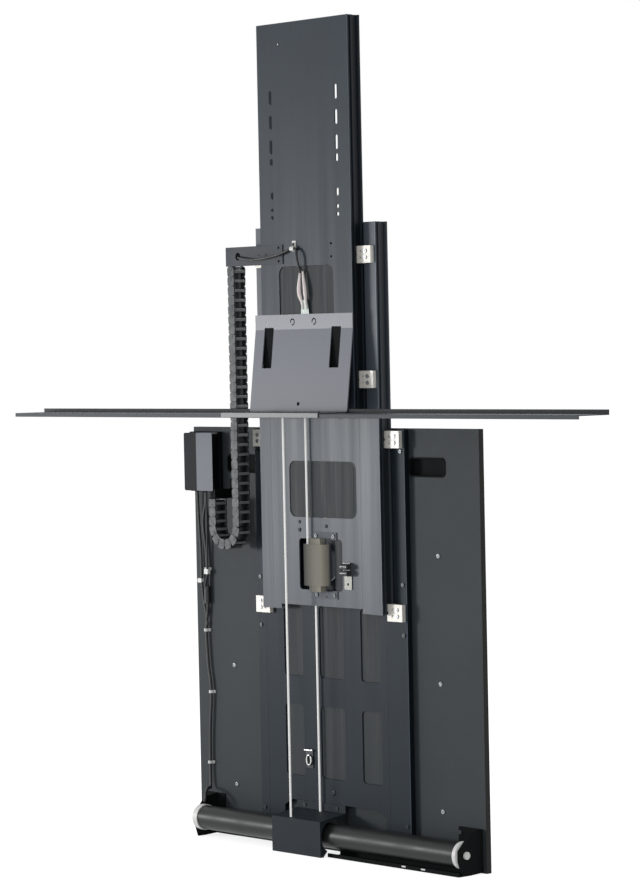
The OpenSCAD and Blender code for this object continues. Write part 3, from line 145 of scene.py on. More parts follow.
def mix(tree, fac, a, b, how="MIX"):
    m = tree.nodes.new("ShaderNodeMix")
    m.data_type = "RGBA"
    m.blend_type = how
    if isinstance(fac, float):
        m.inputs["Factor"].default_value = fac
    else:
        tree.links.new(fac, m.inputs["Factor"])
    for socket, value in (("A", a), ("B", b)):
        target = [s for s in m.inputs if s.name == socket and s.type == "RGBA"][0]
        if isinstance(value, tuple):
            target.default_value = (*value, 1)
        else:
            tree.links.new(value, target)
    return [s for s in m.outputs if s.type == "RGBA"][0]


def speckled(tree, base, fac, dark):
    """The base colour with specks that go down to the share dark of it."""
    grain = ramp(tree, fac, [(0.3, (dark, dark, dark)), (0.7, (1.0, 1.0, 1.0))])
    return mix(tree, 1.0, base, grain, "MULTIPLY")


def linear(r, g, b):
    """An sRGB colour, 0 to 255, as scene linear."""
    def one(v):
        v /= 255
        return v / 12.92 if v <= 0.04045 else ((v + 0.055) / 1.055) ** 2.4
    return (one(r), one(g), one(b))


def shade(colour, f):
    """The colour made lighter or darker by a factor."""
    return tuple(min(1.0, c * f) for c in colour)


ROUGH_DRIFT = 0.06       # how far the roughness goes up and down with the colour drift


def plain(name, colour, spread, rough, grain=(1, 1, 1), grain_scale=60.0, fine_scale=900.0,
          metallic=0.0, bump=0.1, gloss=0.5):
    """A surface with slow colour drift, a fine grain and a matching roughness."""
    m, tree, bsdf = new_material(name)
    v = coords(tree, grain)
    slow = noise(tree, v, grain_scale, 5)
    fine = noise(tree, v, fine_scale, 3)
    base = ramp(tree, slow, [(0.3, shade(colour, 1 - spread)), (0.7, shade(colour, 1 + spread))])
    base = mix(tree, 0.35, base, ramp(tree, fine, [(0.35, shade(colour, 1 - spread)),
                                                   (0.65, shade(colour, 1 + spread))]))
    tree.links.new(base, bsdf.inputs["Base Color"])
    tree.links.new(remap(tree, slow, rough - ROUGH_DRIFT, rough + ROUGH_DRIFT, 0.3, 0.7),
                   bsdf.inputs["Roughness"])
    bsdf.inputs["Metallic"].default_value = metallic
    bsdf.inputs["Specular IOR Level"].default_value = gloss
    add_bump(tree, bsdf, fine, bump)
    return m


def math_node(tree, how, a, b):
    m = tree.nodes.new("ShaderNodeMath")
    m.operation = how
    for socket, value in zip(m.inputs, (a, b)):
        if isinstance(value, float):
            socket.default_value = value
        else:
            tree.links.new(value, socket)
    return m.outputs[0]


def place_parts(tree):
    """X, Y and Z of the rest shape, in metres, and X of the surface's normal."""
    tc = tree.nodes.new("ShaderNodeTexCoord")
    xyz = tree.nodes.new("ShaderNodeSeparateXYZ")
    tree.links.new(tc.outputs["Object"], xyz.inputs["Vector"])
    geo = tree.nodes.new("ShaderNodeNewGeometry")
    nrm = tree.nodes.new("ShaderNodeSeparateXYZ")
    tree.links.new(geo.outputs["Normal"], nrm.inputs["Vector"])
    return xyz.outputs["X"], xyz.outputs["Y"], xyz.outputs["Z"], nrm.outputs["X"]


SPLIT_SOFT = 0.3         # half the width of the change between two finishes
TRAY_FOLD_Z, BAR_FOLD_Y, BOX_FOLD_X = 897.0, UPPER_Y - 50, -404.0     # where a sheet's tone changes; on the box cover the change is painted shade and light of its facets
TURNED = 0.6             # X of the normal from which a face counts as an outer side
FLANK, PAINTED_HIGHLIGHT_W, PAINTED_HIGHLIGHT_D = 9.0, 1.3, 0.9      # width of the outer side that takes painted shade, width and depth of the painted highlight on its front edge
GUARD_LEFT, GUARD_RIGHT, GUARD_FOOT = -36.0, 20.0, 3.2     # span of the painted shade and light across the guard's bent sheet, and its screwed ends


def rail_material(name, colour, half, face, painted_side_shade=0.42, spread=1.0, gloss=0.3):
    """Dark anodised sheet: fine lines along the height and cloudy wear, with a painted highlight on the front
    right edge and painted shade on the outer right side.
    half and face are the half width and the front of the stage, in millimetres of the source."""
    m, tree, bsdf = new_material(name)
    long_lines = noise(tree, coords(tree, (260, 260, 1.6)), 1.0, 4, 0.7)
    streaks = noise(tree, coords(tree, (30, 30, 0.9)), 1.0, 5, 0.6)
    clouds = noise(tree, coords(tree), 5.0, 4, 0.55)
    base = ramp(tree, clouds, [(0.28, shade(colour, 1 - 0.16 * spread)), (0.5, colour),
                               (0.74, shade(colour, 1 + 0.16 * spread))])
    base = mix(tree, 0.3, base, ramp(tree, streaks, [(0.35, shade(colour, 1 - 0.16 * spread)),
                                                     (0.68, shade(colour, 1 + 0.2 * spread))]))
    base = mix(tree, 0.2, base, ramp(tree, long_lines, [(0.3, shade(colour, 0.72)),
                                                        (0.7, shade(colour, 1.3))]))
    x, y, _, nx = place_parts(tree)
    # Painted shade: faces turned to +X along the right side take a darker copy of the colour
    outer = math_node(tree, "MULTIPLY", math_node(tree, "GREATER_THAN", nx, TURNED),
                      math_node(tree, "GREATER_THAN", x, (half - FLANK + SHIFT_X) * MM))
    base = mix(tree, outer, base, shade(colour, painted_side_shade))
    # Painted highlight: a lighter strip along the front right edge
    edge = math_node(tree, "MULTIPLY",
                     math_node(tree, "GREATER_THAN", x, (half - PAINTED_HIGHLIGHT_W + SHIFT_X) * MM),
                     math_node(tree, "LESS_THAN", y, (face + PAINTED_HIGHLIGHT_D + SHIFT_Y) * MM))
    base = mix(tree, math_node(tree, "MULTIPLY", edge, 0.8), base, shade(colour, 3.2))
    tree.links.new(base, bsdf.inputs["Base Color"])
    bsdf.inputs["Metallic"].default_value = 0.05
    bsdf.inputs["Specular IOR Level"].default_value = gloss
    tree.links.new(remap(tree, streaks, 0.4, 0.5, 0.3, 0.7), bsdf.inputs["Roughness"])
    add_bump(tree, bsdf, long_lines, 0.05, 0.0002)
    return m


def split_material(name, axis, limit, low_colour, high_colour, rough, gloss=0.2, side=1.0):
    """Two colours on one node, parted at a place (millimetres of the source) along an axis.
    side below 1 gives faces turned to +X a darker copy of the low colour, as painted shade."""
    m, tree, bsdf = new_material(name)
    fine = noise(tree, coords(tree), 1200.0, 3)
    shift = {"X": SHIFT_X, "Y": SHIFT_Y, "Z": 0.0}[axis]
    parts = place_parts(tree)
    where = parts["XYZ".index(axis)]
    fac = remap(tree, where, 0.0, 1.0, (limit - SPLIT_SOFT + shift) * MM,
                (limit + SPLIT_SOFT + shift) * MM)
    both = mix(tree, fac, low_colour, high_colour)
    # Painted shade on faces turned to +X
    if side < 1:
        turned = math_node(tree, "GREATER_THAN", parts[3], TURNED)
        both = mix(tree, turned, both, shade(low_colour, side))
    tree.links.new(speckled(tree, both, fine, 0.86), bsdf.inputs["Base Color"])
    bsdf.inputs["Roughness"].default_value = rough
    bsdf.inputs["Specular IOR Level"].default_value = gloss
    add_bump(tree, bsdf, fine, 0.1, 0.0002)
    return m


def guard_material():
    """Bent sheet, browner towards its right, with painted shade on its left that turns into painted light on
    its right, and two blue grey ends screwed down.
    """
    m, tree, bsdf = new_material("guard_sheet")
    fine = noise(tree, coords(tree, (220, 220, 4)), 1.0, 3)
    x, y, _, _ = place_parts(tree)
    # Painted shade and light: dark on the left of the bent sheet, pale on its right
    painted_light_across = remap(tree, x, 0.0, 1.0, (GUARD_LEFT + SHIFT_X) * MM, (GUARD_RIGHT + SHIFT_X) * MM)
    sheet = mix(tree, painted_light_across, linear(36, 40, 40), linear(164, 159, 147))
    ends = math_node(tree, "GREATER_THAN", y, (MIDDLE_Y - GUARD_FOOT + SHIFT_Y) * MM)
    base = mix(tree, ends, sheet, linear(108, 113, 121))
    tree.links.new(speckled(tree, base, fine, 0.88), bsdf.inputs["Base Color"])
    bsdf.inputs["Roughness"].default_value = 0.5
    bsdf.inputs["Specular IOR Level"].default_value = 0.1
    add_bump(tree, bsdf, fine, 0.06, 0.0002)
    return m


def board_material():
    """Black laminate with a pebbled face and a browner sawn edge on the sides."""
    m, tree, bsdf = new_material("board_laminate")
    v = coords(tree)
    pebble = noise(tree, v, 700.0, 2, 0.5)
    clouds = noise(tree, v, 5.0, 4, 0.55)
    face = linear(47, 53, 56)
    base = ramp(tree, clouds, [(0.3, shade(face, 0.82)), (0.7, shade(face, 1.2))])
    base = mix(tree, 0.4, base, ramp(tree, pebble, [(0.35, shade(face, 0.55)), (0.66, shade(face, 1.5))]))
    nx = place_parts(tree)[3]
    edge_grain = noise(tree, coords(tree, (1, 240, 14)), 1.0, 4, 0.6)
    edge = ramp(tree, edge_grain, [(0.3, linear(16, 16, 15)), (0.7, linear(34, 33, 31))])
    base = mix(tree, math_node(tree, "ABSOLUTE", nx, 0.0), base, edge)
    tree.links.new(base, bsdf.inputs["Base Color"])
    tree.links.new(remap(tree, pebble, 0.5, 0.66, 0.3, 0.7), bsdf.inputs["Roughness"])
    bsdf.inputs["Specular IOR Level"].default_value = 0.22
    add_bump(tree, bsdf, pebble, 0.22, 0.0004)
    return m


def rope_material():
    """White fuzzy cord, with a faint painted glow that makes it brighter than the lamps alone."""
    m, tree, bsdf = new_material("rope_cord")
    v = coords(tree)
    fuzz = noise(tree, v, 1500.0, 2, 0.6)
    slow = noise(tree, v, 40.0, 3, 0.5)
    white = linear(252, 252, 249)
    base = ramp(tree, slow, [(0.3, shade(white, 0.9)), (0.7, white)])
    base = mix(tree, 0.3, base, ramp(tree, fuzz, [(0.3, shade(white, 0.72)), (0.6, white)]))
    tree.links.new(base, bsdf.inputs["Base Color"])
    bsdf.inputs["Roughness"].default_value = 0.7
    # Painted light: the cord glows a little, though it is no lamp
    bsdf.inputs["Emission Color"].default_value = (1, 1, 1, 1)
    bsdf.inputs["Emission Strength"].default_value = 0.28
    add_bump(tree, bsdf, fuzz, 0.3, 0.0003)
    return m


MATERIALS = {
    "board": board_material(),
    "rail": rail_material("rail_anodised", linear(40, 48, 56), FIXED_HALF, FIXED_Y, gloss=0.1),
    "nickel": plain("guide_nickel", linear(240, 237, 229), 0.04, 0.42, grain_scale=120.0,
                    metallic=0.1, bump=0.08),
    "steel": plain("zinc_steel", linear(150, 152, 156), 0.12, 0.34, grain_scale=220.0,
                   metallic=0.85, bump=0.06),
    "black_steel": plain("powder_black", linear(46, 50, 54), 0.06, 0.46, grain_scale=9.0,
                         fine_scale=1400.0, metallic=0.1, bump=0.16),
    "black_plastic": plain("matte_black", linear(34, 36, 38), 0.12, 0.5, grain_scale=30.0,
                           bump=0.12),
    "white_plastic": plain("satin_white", linear(240, 240, 239), 0.03, 0.4, grain_scale=50.0,
                           bump=0.04),
    "guard": guard_material(),
    "rope": rope_material(),
    "cable": plain("cable_rubber", linear(30, 31, 33), 0.15, 0.46, grain_scale=60.0, bump=0.1),
}

# Finishes that differ from the node's slot
SPECIAL = {
    "tube": plain("tube_black_satin", linear(26, 29, 29), 0.08, 0.42, grain_scale=12.0, bump=0.05,
                  gloss=0.35),
    "tray": split_material("tray_grey_black", "Z", TRAY_FOLD_Z, linear(52, 56, 63), linear(108, 113, 124),
                           0.4, gloss=0.5),
    "black": plain("bracket_black", linear(24, 26, 27), 0.08, 0.6, grain_scale=9.0, fine_scale=1400.0,
                   bump=0.12, gloss=0.03),
    "cover": plain("cover_black", linear(46, 52, 58), 0.05, 0.5, grain_scale=9.0, fine_scale=1400.0,
                   bump=0.12, gloss=0.1),
    "ring": plain("ring_white", linear(250, 250, 249), 0.02, 0.45, grain_scale=60.0, bump=0.03),
    # The cross bars are pale as painted light of their lit ends
    "link": plain("link_bars_painted_light", linear(126, 129, 130), 0.12, 0.4, grain_scale=40.0, bump=0.1),
    "link_cheek": plain("link_cheek_grey", linear(54, 58, 61), 0.1, 0.42, grain_scale=60.0,
                        bump=0.12, gloss=0.25),
    # Same anodised finish as the other stages, made lighter as painted light of the highlight that falls on
    # the middle stage
    "middle": rail_material("rail_middle", linear(66, 74, 83), MIDDLE_HALF, MIDDLE_Y, gloss=0.36),
    "upper": rail_material("rail_upper", linear(42, 51, 60), UPPER_HALF, UPPER_Y, 0.35, gloss=0.24),
    "lining": plain("window_sheet", linear(46, 51, 54), 0.06, 0.55, grain=(30, 30, 1.2), grain_scale=4.0,
                    bump=0.05, gloss=0.2),
    "bar": split_material("bar_faces", "Y", BAR_FOLD_Y, linear(72, 76, 83), linear(50, 54, 58), 0.5),
    "arm": plain("arm_black", linear(60, 65, 72), 0.05, 0.5, grain_scale=8.0, fine_scale=1500.0,
                 bump=0.12, gloss=0.2),
    # The cover's darker left and lighter right are painted shade and painted light of its facets; its +X
    # faces take painted shade
    "box": split_material("box_facets", "X", BOX_FOLD_X, linear(20, 24, 30), linear(146, 150, 158),
                          0.55, side=0.3, gloss=0.12),
    "switch": plain("switch_plate", linear(118, 118, 112), 0.1, 0.4, grain_scale=200.0, metallic=0.4),
    "knob": plain("switch_knob", linear(64, 68, 68), 0.1, 0.28, grain_scale=200.0, metallic=0.3),
    "dark_screw": plain("screw_black_zinc", linear(52, 55, 58), 0.12, 0.3, grain_scale=300.0,
                        metallic=0.6, bump=0.05),
    "pale_screw": plain("screw_zinc", linear(150, 154, 156), 0.1, 0.34, grain_scale=300.0,
                        metallic=0.5, bump=0.05),
    "sleeve": plain("sleeve_pink_white", linear(250, 241, 238), 0.04, 0.4, grain_scale=150.0, bump=0.1),
    "ribbon": plain("ribbon_pale", linear(186, 201, 194), 0.05, 0.4, grain=(60, 60, 2),
                    grain_scale=8.0, bump=0.05),
    "chrome": plain("hook_chrome", linear(205, 207, 206), 0.05, 0.2, grain_scale=100.0, metallic=0.9,
                    bump=0.03),
}

FINISHES = {
    "drum_tube": "tube", "tray_bracket": "tray", "tray_bar": "bar", "chain_arm": "arm",
    "middle_stage": "middle", "upper_stage": "upper", "upper_window_lining": "lining",
    "middle_window_lining": "lining", "control_box_cover": "box", "limit_switch": "switch",
    "hand_cup_left": "black", "hand_cup_right": "black", "motor_bracket_left": "black",
    "motor_bracket_right": "black", "rope_cover": "cover", "motor_head": "ring", "idler_ring": "ring",
    "control_box_base": "black", "chain_bracket": "black", "motor_bracket_screws": "dark_screw",
    "limit_switch_knobs": "knob", "rail_screws": "dark_screw", "guard_screws": "dark_screw",
    "rope_cover_screws": "dark_screw", "tray_screws": "dark_screw",
}
for node_name, node in NODES.items():
    node.data.materials.clear()
    if node_name in FINISHES:
        node.data.materials.append(SPECIAL[FINISHES[node_name]])
    else:
        node.data.materials.append(MATERIALS[SLOT_OF[node_name]])


WELD, EDGE_R = 0.00002, 0.0006


def soften_edges(name, width):
    """Weld and bevel on a CAD node, so its folded and milled edges catch the light."""
    o = NODES[name]
    weld = o.modifiers.new("weld", "WELD")
    weld.merge_threshold = WELD
    bevel = o.modifiers.new("bevel", "BEVEL")
    bevel.width = width
    bevel.segments = 2
    bevel.limit_method = "ANGLE"
    bevel.angle_limit = math.radians(40)
    bevel.use_clamp_overlap = True
    bevel.harden_normals = False
    even_out = o.modifiers.new("weighted", "WEIGHTED_NORMAL")
    even_out.keep_sharp = False


for name in ("back_board", "tray_bar", "control_box_base", "control_box_cover"):
    soften_edges(name, EDGE_R)


# Mesh helpers
def mesh_object(name, verts, faces, material, smooth=True):
    me = bpy.data.meshes.new(name)
    me.from_pydata([tuple(v) for v in verts], [], faces)
    me.validate()
    me.update()
    o = bpy.data.objects.new(name, me)
    bpy.context.scene.collection.objects.link(o)
    me.materials.append(material)
    bm = bmesh.new()
    bm.from_mesh(me)
    bmesh.ops.recalc_face_normals(bm, faces=bm.faces)
    bm.to_mesh(me)
    bm.free()
    for p in me.polygons:
        p.use_smooth = smooth
    return o


def catmull(points, steps):
    """A smooth curve through the points, with steps points from each to the next."""
    out = []
    for i in range(len(points) - 1):
        a = points[max(i - 1, 0)]
        b, c = points[i], points[i + 1]
        d = points[min(i + 2, len(points) - 1)]
        for j in range(steps):
            t = j / steps
            out.append(0.5 * (2 * b + (c - a) * t + (2 * a - 5 * b + 4 * c - d) * t * t
                              + (3 * b - a - 3 * c + d) * t ** 3))
    out.append(points[-1])
    return out


def even(points, step):
    """The same route with points at an even distance."""
    lengths = [0.0]
    for a, b in zip(points, points[1:]):
        lengths.append(lengths[-1] + (b - a).length)
    count = max(2, round(lengths[-1] / step))
    out, k = [], 0
    for i in range(count + 1):
        s = lengths[-1] * i / count
        while k < len(points) - 2 and lengths[k + 1] < s:
            k += 1
        span = lengths[k + 1] - lengths[k]
        out.append(points[k].lerp(points[k + 1], (s - lengths[k]) / span if span else 0))
    return out


def ring_faces(rings, sides):
    """Faces between rings of vertices that follow each other, with both ends closed."""
    faces = []
    for i in range(rings - 1):
        for k in range(sides):
            k2 = (k + 1) % sides
            faces.append((i * sides + k, (i + 1) * sides + k, (i + 1) * sides + k2, i * sides + k2))
    faces.append(tuple(range(sides)))
    faces.append(tuple(range(rings * sides - 1, (rings - 1) * sides - 1, -1)))
    return faces


def sweep(points, section, start=Vector((1, 0, 0))):
    """Rings of section(i, angle index) around a route, closed at both ends."""
    verts = []
    side = start.copy()
    n = len(points)
    sides = section.sides
    for i, p in enumerate(points):
        t = (points[min(i + 1, n - 1)] - points[max(i - 1, 0)]).normalized()
        side = (side - t * side.dot(t)).normalized()
        up = t.cross(side)
        for k in range(sides):
            r, a = section(i, k)
            verts.append(p + side * (r * math.cos(a)) + up * (r * math.sin(a)))
    return verts, ring_faces(n, sides)


# Sections of a sweep: each gives the distance and the angle of point k of ring i
class Round:
    """A plain round section."""

    def __init__(self, r, sides=16):
        self.r, self.sides = r, sides

    def __call__(self, i, k):
        return self.r, 2 * math.pi * k / self.sides


class Laid:
    """A rope of three laid strands: three lobes that turn along the route."""

    def __init__(self, r, turn, sides=18, depth=0.1):
        self.r, self.turn, self.sides, self.depth = r, turn, sides, depth

    def __call__(self, i, k):
        a = 2 * math.pi * k / self.sides
        lobe = abs(math.cos(1.5 * a))
        return self.r * (1 - self.depth + self.depth * lobe), a + i * self.turn


class Flat:
    """A flat oval section."""

    def __init__(self, a, b, sides=20):
        self.a, self.b, self.sides = a, b, sides

    def __call__(self, i, k):
        t = 2 * math.pi * k / self.sides
        x, y = self.a * math.cos(t), self.b * math.sin(t)
        return math.hypot(x, y), math.atan2(y, x)


class Swelling:
    """A round section that swells by a list of radii along the route."""

    def __init__(self, radii, count, sides=16):
        self.radii, self.count, self.sides = radii, count, sides

    def __call__(self, i, k):
        t = i / (self.count - 1) * (len(self.radii) - 1)
        j = min(int(t), len(self.radii) - 2)
        r = self.radii[j] + (self.radii[j + 1] - self.radii[j]) * (t - j)
        return r, 2 * math.pi * k / self.sides


# Pieces swept along a route
def tube(name, points, radius, material, sides=16, step=None, start=Vector((1, 0, 0))):
    pts = even(points, step) if step else points
    v, f = sweep(pts, Round(radius, sides), start)
    return mesh_object(name, v, f, material)


ROPE_STEP, LAY_TURN = 0.0012, math.radians(22)     # from ring to ring of a laid rope


def rope(name, points, start=Vector((0, 1, 0))):
    v, f = sweep(even(points, ROPE_STEP), Laid(ROPE_R * MM, LAY_TURN), start)
    return mesh_object(name, v, f, MATERIALS["rope"])


def slab_mesh(outline, y0, y1):
    """Verts and faces of an XZ outline between two Y planes, in millimetres."""
    n = len(outline)
    verts = [Vector((x, y0, z)) for x, z in outline] + [Vector((x, y1, z)) for x, z in outline]
    faces = [tuple(range(n)), tuple(range(2 * n - 1, n - 1, -1))]
    faces += [(i, (i + 1) % n, n + (i + 1) % n, n + i) for i in range(n)]
    return verts, faces


def rounded(x0, x1, z0, z1, r, n=4):
    """A rectangle's outline with round corners of n steps."""
    out = []
    for cx, cz, a0 in ((x1 - r, z1 - r, 0), (x0 + r, z1 - r, 90), (x0 + r, z0 + r, 180),
                       (x1 - r, z0 + r, 270)):
        out += [(cx + r * math.cos(math.radians(a0 + 90 * i / n)),
                 cz + r * math.sin(math.radians(a0 + 90 * i / n))) for i in range(n + 1)]
    return out


# Ropes
TUBE_Y, TUBE_Z, TUBE_D = 46.0, 40.0, 50.0      # the tube's axis before the board, its height and size
ROPE_BACK = -TUBE_Y + TUBE_D / 2 + ROPE_R
ROPE_FRONT = -TUBE_Y - TUBE_D / 2 - ROPE_R
HOIST_X, RETURN_X = -38.0, -66.0
FRONT_Y = MIDDLE_Y - 6.5                       # plane of the ropes in front of the middle stage
STAGE_R, HEAD_R = 34.0, 42.0                   # pulleys at the foot and head of the middle stage
TILT = math.asin((ROPE_BACK - FRONT_Y) / (2 * STAGE_R))
DOWN_X = STAGE_R * math.cos(TILT)
TOP_R = (DOWN_X - HOIST_X) / 2
TOP_X, TOP_Z = HOIST_X + TOP_R, 815.0
LOW_Y, LOW_Z = (FRONT_Y + ROPE_BACK) / 2, 584.0
HEAD_X, HEAD_Z = HEAD_R - DOWN_X, 1217.0
ROPE_UP_X = HEAD_X + HEAD_R
ANCHOR_Z, ANCHOR_TOP = 894.5, 8.3              # foot of the rope anchors, and the hoist rope's end above it
SPLIT_Z = 464.0                                # where the return rope passes from one slide to the next


ARC_STEPS = 40


def arc(cx, cz, r, y, a0, a1):
    """Points of an arc in the plane of a pulley, from angle a0 to a1 in degrees."""
    out = []
    for i in range(ARC_STEPS + 1):
        a = math.radians(a0 + (a1 - a0) * i / ARC_STEPS)
        out.append(at(cx + r * math.cos(a), y, cz + r * math.sin(a)))
    return out


hoist_lower = rope("rope_hoist_lower", [at(HOIST_X, ROPE_BACK, TUBE_Z)]
                   + arc(TOP_X, TOP_Z, TOP_R, ROPE_BACK, 180, 0))
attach(hoist_lower, "base")
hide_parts("hoist_rope_lower")

low_end = (DOWN_X, LOW_Y + STAGE_R * math.sin(TILT), LOW_Z)
hoist_middle = rope("rope_hoist_middle", [at(TOP_X + TOP_R, ROPE_BACK, TOP_Z), at(*low_end)])
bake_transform(hoist_middle)
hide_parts("hoist_rope_middle")


def tilted(a):
    """A point on the foot pulley's rim, whose plane is turned to meet both ropes."""
    c = STAGE_R * math.cos(math.radians(a))
    return at(c * math.cos(TILT), LOW_Y + c * math.sin(TILT),
              LOW_Z + STAGE_R * math.sin(math.radians(a)))


stage_rope = rope("rope_stage", [tilted(-180 * i / 36) for i in range(37)]
                  + arc(HEAD_X, HEAD_Z, HEAD_R, FRONT_Y, 180, 0))
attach(stage_rope, "middle")
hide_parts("stage_rope")

head_end = at(ROPE_UP_X, FRONT_Y, HEAD_Z)
anchor_end = at(ROPE_UP_X, FRONT_Y, ANCHOR_Z + ANCHOR_TOP)
hoist_upper = rope("rope_hoist_upper", [head_end, anchor_end])
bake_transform(hoist_upper)
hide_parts("hoist_rope_upper")

drum_end, split, face_end = (at(RETURN_X, ROPE_FRONT, z) for z in (TUBE_Z, SPLIT_Z, ANCHOR_Z))
return_low = rope("rope_return_low", [drum_end, split])
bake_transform(return_low)
return_high = rope("rope_return_high", [split, face_end])
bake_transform(return_high)
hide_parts("return_rope")

TURNS, TURN_STEPS = 4, 48
TURN_PITCH = 2 * ROPE_R + 0.5
WINDING_R = TUBE_D / 2 + ROPE_R + 0.1


def winding(name, x, way, a0):
    """Turns of rope on the tube from x on, to the right (way 1) or the left (way -1)."""
    pts = []
    for i in range(TURNS * TURN_STEPS + 1):
        a = math.radians(a0 + 360 * i / TURN_STEPS)
        pts.append(at(x + way * TURN_PITCH * i / TURN_STEPS, -TUBE_Y + WINDING_R * math.cos(a),
                      TUBE_Z + WINDING_R * math.sin(a)))
    return rope(name, pts, start=Vector((1, 0, 0)))


coil_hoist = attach(winding("rope_coil_hoist", HOIST_X + 2 * ROPE_R, 1, 0), "drum")
coil_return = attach(winding("rope_coil_return", RETURN_X - 2 * ROPE_R, -1, 180), "drum")
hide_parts("drum_rope")

# Cable chain
CHAIN_X, BEND_X, LEG_X = -238.0, -276.0, -314.0
CHAIN_BACK, CHAIN_W, CHAIN_T, CHAIN_PITCH, CHAIN_R = -28.2, 32.0, 22.0, 19.6, 38.0
CHAIN_Y = CHAIN_BACK - CHAIN_W / 2
BEND_Z, LEG_TOP_Z, RUN_TOP_Z = 656.0, 712.0, 1192.7
BEND_GAP = 0.3           # between the bend and the straight runs
CHEEK = 2.6              # wall of a link
BOSS_OUT = 0.5           # how far the pin bosses stand out of the cheeks
NESTING = 0.12           # how much thinner a link is than the one that it draws into
WIRE_STEP = 0.006


def link_parts(pitch, thin=0.0):
    """One link round the origin, its length along Z, as meshes with their material slots: two cheeks,
    a pin boss through both and two cross bars. thin draws every wall in, so that a link can lie inside
    another one."""
    wide, deep = CHAIN_W - 2 * thin, CHAIN_T - 2 * thin
    half = deep / 2
    head, neck, tail = pitch * 0.56, pitch * 0.1, -pitch * 0.5
    cheek = []
    for i in range(9):
        a = math.radians(180 * i / 8)
        cheek.append((half * 0.96 * math.cos(a), head - half * 0.5 + half * 0.5 * math.sin(a)))
    cheek += [(-half, neck), (-half * 0.9, tail), (half * 0.9, tail), (half, neck)]
    parts = []
    for y0, y1 in ((-wide / 2, -wide / 2 + CHEEK), (wide / 2 - CHEEK, wide / 2)):
        parts.append((slab_mesh(cheek, y0, y1), 1))
    pin_r, pin_z = deep * 0.2, pitch * 0.3
    boss = [(pin_r * math.cos(math.radians(a)), pin_z + pin_r * math.sin(math.radians(a)))
            for a in range(0, 360, 30)]
    parts.append((slab_mesh(boss, -wide / 2 - BOSS_OUT + thin, wide / 2 + BOSS_OUT - thin), 1))
    bar_outer, bar_inner, bar_half = half - 0.2, half - 2.6, pitch * 0.15
    for side in (-1, 1):
        x0, x1 = sorted((side * bar_outer, side * bar_inner))
        bar = rounded(x0, x1, -bar_half, bar_half, 1.0, 2)
        parts.append((slab_mesh(bar, -wide / 2 + CHEEK / 2, wide / 2 - CHEEK / 2), 0))
    return parts


def link_object(name, place, turn=0.0, pitch=CHAIN_PITCH, thin=0.0):
    """A chain link at place (X and Z of the source), turned about Y by turn degrees."""
    verts, faces, slots = [], [], []
    for (part_verts, part_faces), slot in link_parts(pitch, thin):
        first = len(verts)
        verts += part_verts
        faces += [tuple(first + i for i in face) for face in part_faces]
        slots += [slot] * len(part_faces)
    rot = Matrix.Rotation(math.radians(turn), 3, "Y")
    centre = Vector((place[0], CHAIN_Y, place[1]))
    verts = [at(*(rot @ v + centre)) for v in verts]
    o = mesh_object(name, verts, faces, SPECIAL["link"], smooth=False)
    o.data.materials.append(SPECIAL["link_cheek"])
    for polygon, slot in zip(o.data.polygons, slots):
        polygon.material_index = slot
    bevel = o.modifiers.new("bevel", "BEVEL")
    bevel.width = 0.0005
    bevel.segments = 1
    bevel.limit_method = "ANGLE"
    return o


def share_blend(o, share):
    """Solves the blend's curve for the share, then bakes the piece's transform into its mesh."""
    # The blend's curve, 3 t^2 - 2 t^3 = share, is solved for t
    low, high = 0.0, 1.0
    for _ in range(60):
        t = (low + high) / 2
        if t * t * (3 - 2 * t) < share:
            low = t
        else:
            high = t
    t = (low + high) / 2
    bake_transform(o)


def seat(k, links, seats):
    """The seat that link k shares when links crowd into fewer seats, and its turn in that seat."""
    chosen = min(seats - 1, math.floor(k * seats / links))
    return chosen, k - math.ceil(chosen * links / seats)


def straight_link(name, x, z, turn, pitch, level, share):
    """A link of a straight run, drawn thinner by its level; its share of the travel goes to share_blend."""
    o = link_object(name, (x, z), turn, pitch, NESTING * max(level, 0))
    share_blend(o, min(max(share, 0.0), 1.0))
    return o


def on_bend(a):
    """X and Z of the bend's middle line at an angle in degrees."""
    return BEND_X + CHAIN_R * math.cos(math.radians(a)), BEND_Z + CHAIN_R * math.sin(math.radians(a))


# Moving run: raised, its links lie one above the other, each drawn thinner by its nesting level
run_len = RUN_TOP_Z - BEND_Z - BEND_GAP
run_links = round(run_len / CHAIN_PITCH)
run_seats = round((run_len - STROKE) / CHAIN_PITCH)
run_pitch = run_len / run_links
run_low_pitch = (run_len - STROKE) / run_seats
for k in range(run_links):
    from_top = run_links - 1 - k
    chosen, level = seat(from_top, run_links, run_seats)
    share = (STROKE - (from_top * run_pitch - chosen * run_low_pitch)) / STROKE
    z = BEND_Z + BEND_GAP + (k + 0.5) * run_pitch
    link = straight_link(f"chain_run_link_{k:02d}", CHAIN_X, z, 0.0, run_pitch, level,
                         share)
    if k == 0:
        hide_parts("chain_run")

# Bend
bend_links = max(3, round(math.pi * CHAIN_R / CHAIN_PITCH))
for k in range(bend_links):
    a = -180 * (k + 0.5) / bend_links
    link = link_object(f"chain_bend_link_{k:02d}", on_bend(a), turn=-a)
    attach(link, "middle")
    if k == 0:
        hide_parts("chain_bend")

# Fixed leg: raised, its few seats hold all the links that the lowered chain needs
leg_len = LEG_TOP_Z - BEND_Z - BEND_GAP
leg_seats = round(leg_len / CHAIN_PITCH)
leg_links = round((leg_len + STROKE) / CHAIN_PITCH)
leg_pitch = leg_len / leg_seats
leg_low_pitch = (leg_len + STROKE) / leg_links
for k in range(leg_links):
    chosen, level = seat(k, leg_links, leg_seats)
    share = (k * leg_low_pitch - chosen * leg_pitch) / STROKE
    z = LEG_TOP_Z - (chosen + 0.5) * leg_pitch
    link = straight_link(f"chain_leg_link_{k:02d}", LEG_X, z, 180, leg_pitch, level,
                         share)
    if k == 0:
        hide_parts("chain_fixed_leg")


